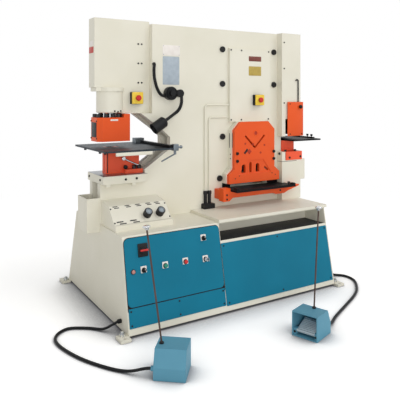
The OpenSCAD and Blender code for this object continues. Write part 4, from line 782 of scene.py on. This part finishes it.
blackScrews("hoodScrews", notchSet["screws"], toFront, *notchSet["screw"], "notch_guard")
jawSet = {"bolts": [(756, -166, 934), (872, -166, 938)], "bolt": (9, 6, 18),
          "studs": [(733, -140, 982), (837, -140, 982)], "stud": (10, 15, 18),
          "washerFoot": (679, -133, 967), "washer": [(13, 0), (13, 2.4), (8, 2.6)],
          "screwFoot": (677, -133, 967), "screw": (8.5, 7, 18),
          "seam": [((679.4, -162.7, 903.5), (834, -161.8, 906.5)),
                   ((678.3, -162.4, 903.5), (679.2, -104, 906.5))]}
blackScrews("notchDieBolts", jawSet["bolts"], toFront, *jawSet["bolt"])
blackScrews("notchDieStuds", jawSet["studs"], up, *jawSet["stud"])
fit(turned("jawWasher", jawSet["washer"], jawSet["washerFoot"], toLeft, 24), zincPlate)
blackScrews("jawScrew", [jawSet["screwFoot"]], toLeft, *jawSet["screw"])
fit(joinPieces("jawSeam", [slab("seam", *corners, 0) for corners in jawSet["seam"]]), rubberAndShadeBlack)
fenceSet = {"bar": ((1036, -140, 1079.8), (1057, 116, 1089)),
            "knobs": [(1046, -113, 1088), (1046, -64, 1088)],
            "knob": [(4, 0), (4, 8), (10, 9), (10, 21), (8, 24)], "screw": (7, 0.8, 16),
            "screws": [(930, -120, 1080), (930, 120, 1080), (1040, -170, 1080), (1040, 170, 1080)]}
fence = [slab("fenceBar", *fenceSet["bar"], 1.2)]
fence += [turned("fenceKnob", fenceSet["knob"], place, up, 18, 0.4) for place in fenceSet["knobs"]]
fit(joinPieces("notchFence", fence), blackSatinAndShade)
blackScrews("notchTableScrews", fenceSet["screws"], up, *fenceSet["screw"])
print("notch station dressed")

# conduits, deck socket and work lamp
deckSet = {"glands": [(-20, -112.3, 702), (16, -112.3, 702)], "gland": (15.5, 24),
           "lid": ((-46, -147, 628), (41, -101, 633.5))}
fit(hexNuts("tubeGlands", deckSet["glands"], up, *deckSet["gland"]), blackAbs)
fit(slab("socketLid", *deckSet["lid"], 2.5, 3), blackAbs)
lampSet = {"tail": (-378.9, -152, 1259.2), "along": (-0.848, 0, -0.53),
           "hood": [(24, -3), (35, 5), (39.8, 13), (39.8, 22), (38.4, 23), (38.4, 27), (39.8, 28),
                    (39.8, 100), (41, 102), (41, 107), (38, 107), (32, 80), (8, 76)],
           "glass": [(31, 79), (31, 82), (23, 84)], "bend": (-350, -152, 1402), "bendRadius": 104,
           "sweep": 57, "ribs": 20, "rib": [(11.1, -1.9), (12.2, -0.9), (12.2, 0.9), (11.1, 1.9)],
           "swivel": (-262, -144.3, 1453), "swivelCap": [(28.5, -0.5), (28.5, 20), (26, 24.6), (12, 25)]}
fit(turned("lampHood", lampSet["hood"], lampSet["tail"], lampSet["along"], 40), blackAbs, "lamp_arm")
fit(turned("lampGlass", lampSet["glass"], lampSet["tail"], lampSet["along"]), plateWhite, "lamp_arm")
x, y, z = lampSet["bend"]
radius = lampSet["bendRadius"]
ribs = []
for i in range(lampSet["ribs"]):
    angle = math.radians(lampSet["sweep"] * (i + 0.5) / lampSet["ribs"])
    place = (x + radius * math.cos(angle), y, z - radius * math.sin(angle))
    ribs.append(turned("rib" + str(i), lampSet["rib"], place, (-math.sin(angle), 0, -math.cos(angle)), 20))
fit(joinPieces("lampNeckRibs", ribs), blackAbs, "lamp_arm")
fit(turned("lampSwivelCap", lampSet["swivelCap"], lampSet["swivel"], toFront, 14, 0.8), blackAbs, "lamp_arm")
print("lamp dressed")

# pedals: carry rods with pressed caps and nuts at their feet, hinge bolts
pedalSet = {"left": {"at": (-852, -1104), "turn": 50.8, "rodAt": (-58, 92), "lean": (-68, 41)},
            "right": {"at": (211, -1052), "turn": 199.1, "rodAt": (-4, 60), "lean": (23, -14)},
            "roof": 146, "rod": 606, "rodRadius": 4.8, "rodStart": 4, "hingeAcross": (-70, 70),
            "hingeOut": 152, "hingeHeight": 22, "hinge": [(8, 0), (8, 12), (6.5, 13.5), (3, 13.6)],
            "foot": [(12.4, -0.2), (12.4, 8), (10, 10.4), (6, 10.6)],
            "cap": [(9, -16), (11, -6), (21, -2), (21.4, 2.5), (18, 6), (11, 8.2), (4, 8.8)]}
rodForm = [(pedalSet["rodRadius"], 0), (pedalSet["rodRadius"], pedalSet["rod"])]
rods, caps, feet, hinges = [], [], [], []
for side in ("left", "right"):
    pedal = pedalSet[side]
    angle = math.radians(pedal["turn"] - 90)
    across = Vector((math.cos(angle), math.sin(angle), 0))
    mouth = Vector((-math.sin(angle), math.cos(angle), 0))
    (x, y), (alongX, alongY) = pedal["at"], pedal["rodAt"]
    foot = Vector((x + alongX * math.cos(angle) - alongY * math.sin(angle),
                   y + alongX * math.sin(angle) + alongY * math.cos(angle), pedalSet["roof"]))
    lean = Vector((*pedal["lean"], pedalSet["rod"])).normalized()
    start = foot + Vector((0, 0, pedalSet["rodStart"]))
    for s in pedalSet["hingeAcross"]:
        place = Vector((x, y, pedalSet["hingeHeight"])) + across * s + mouth * pedalSet["hingeOut"]
        hinges.append(turned(side + "Hinge", pedalSet["hinge"], place, mouth, 16))
    rods.append(turned(side + "Rod", rodForm, start, lean, 18))
    feet.append(turned(side + "RodFoot", pedalSet["foot"], foot, up, 6, 0.5))
    caps.append(turned(side + "RodCap", pedalSet["cap"], start + lean * pedalSet["rod"], lean, 28, 0.4))
fit(joinPieces("carryRods", rods), rustedRod, "machine", ["pedal_rods"])
fit(joinPieces("carryCaps", caps), chromePlate)
fit(joinPieces("carryFeet", feet), blackedSteelAndShade)
fit(joinPieces("hingeBolts", hinges), blackedSteelAndShade)
print("pedals dressed")

# stage: pale floor with a painted contact shadow, where ambient occlusion darkens its colour near the
# machine, besides the lamps' own shadows; white surround, light from above at the right front and a low fill
# from the left front
stageSet = {"floor": "#FCFCFB", "corner": "#8E8E93", "paintedShadowReach": 0.34, "paintedShadowBand": (0.45, 0.92),
            "fade": (2.2, 4.4), "lift": 0.36, "skyLight": 0.55, "sun": 0.85, "sunFrom": (0.45, -0.55, 0.72),
            "sunSize": 40, "fill": 0.85, "fillFrom": (-0.4, -0.9, 0.1), "fillSize": 30}
white = (1, 1, 1, 1)
clearSelection()
bpy.ops.mesh.primitive_plane_add(size=40, location=(0, 0, -0.0005))
floor = bpy.context.active_object
floor.name = "studioFloor"
floorPaper = bpy.data.materials.new("studioPaper")
floorPaper.use_nodes = True
tree = floorPaper.node_tree
tree.nodes.clear()
# painted contact shadow: near the machine the floor colour goes to the corner grey and loses its lift
shade = addNode(tree, "ShaderNodeAmbientOcclusion", {"Distance": stageSet["paintedShadowReach"], "samples": 8})
clear = ramp(tree, shade.outputs["AO"], *stageSet["paintedShadowBand"])
tone = mixColours(tree, clear, stageSet["corner"], stageSet["floor"])
paper = addNode(tree, "ShaderNodeBsdfDiffuse", {"Color": tone})
glow = addNode(tree, "ShaderNodeEmission", {"Color": white, "Strength": 1.0})
place = addNode(tree, "ShaderNodeTexCoord")
distance = addNode(tree, "ShaderNodeVectorMath", {"operation": "LENGTH", 0: place.outputs["Object"]})
far = ramp(tree, distance.outputs["Value"], *stageSet["fade"])
inView = addNode(tree, "ShaderNodeLightPath").outputs["Is Camera Ray"]
seen = combine(tree, "MULTIPLY", far, inView)
lifted = combine(tree, "MULTIPLY", combine(tree, "MULTIPLY", clear, stageSet["lift"]), inView)
lift = addNode(tree, "ShaderNodeEmission", {"Color": white, "Strength": lifted})
near = addNode(tree, "ShaderNodeAddShader", {0: paper.outputs[0], 1: lift.outputs[0]})
both = addNode(tree, "ShaderNodeMixShader", {0: seen, 1: near.outputs[0], 2: glow.outputs[0]})
addNode(tree, "ShaderNodeOutputMaterial", {"Surface": both.outputs[0]})
floor.data.materials.append(floorPaper)

world = bpy.data.worlds.new("studioSurround")
scene.world = world
world.use_nodes = True
tree = world.node_tree
tree.nodes.clear()
rays = addNode(tree, "ShaderNodeLightPath").outputs
direct = combine(tree, "MAXIMUM", rays["Is Camera Ray"], rays["Is Glossy Ray"])
shown = combine(tree, "MAXIMUM", direct, rays["Is Transmission Ray"])
backdrop = addNode(tree, "ShaderNodeBackground", {"Color": white, "Strength": 1.0})
skyLight = addNode(tree, "ShaderNodeBackground", {"Color": white, "Strength": stageSet["skyLight"]})
both = addNode(tree, "ShaderNodeMixShader", {0: shown, 1: skyLight.outputs[0], 2: backdrop.outputs[0]})
addNode(tree, "ShaderNodeOutputWorld", {"Surface": both.outputs[0]})
for name, part in (("windowSide", "sun"), ("wallSide", "fill")):
    light = bpy.data.lights.new(name, "SUN")
    light.energy = stageSet[part]
    light.angle = math.radians(stageSet[part + "Size"])
    lamp = bpy.data.objects.new(name, light)
    scene.collection.objects.link(lamp)
    lamp.rotation_euler = aim(stageSet[part + "From"])
print("stage lit")
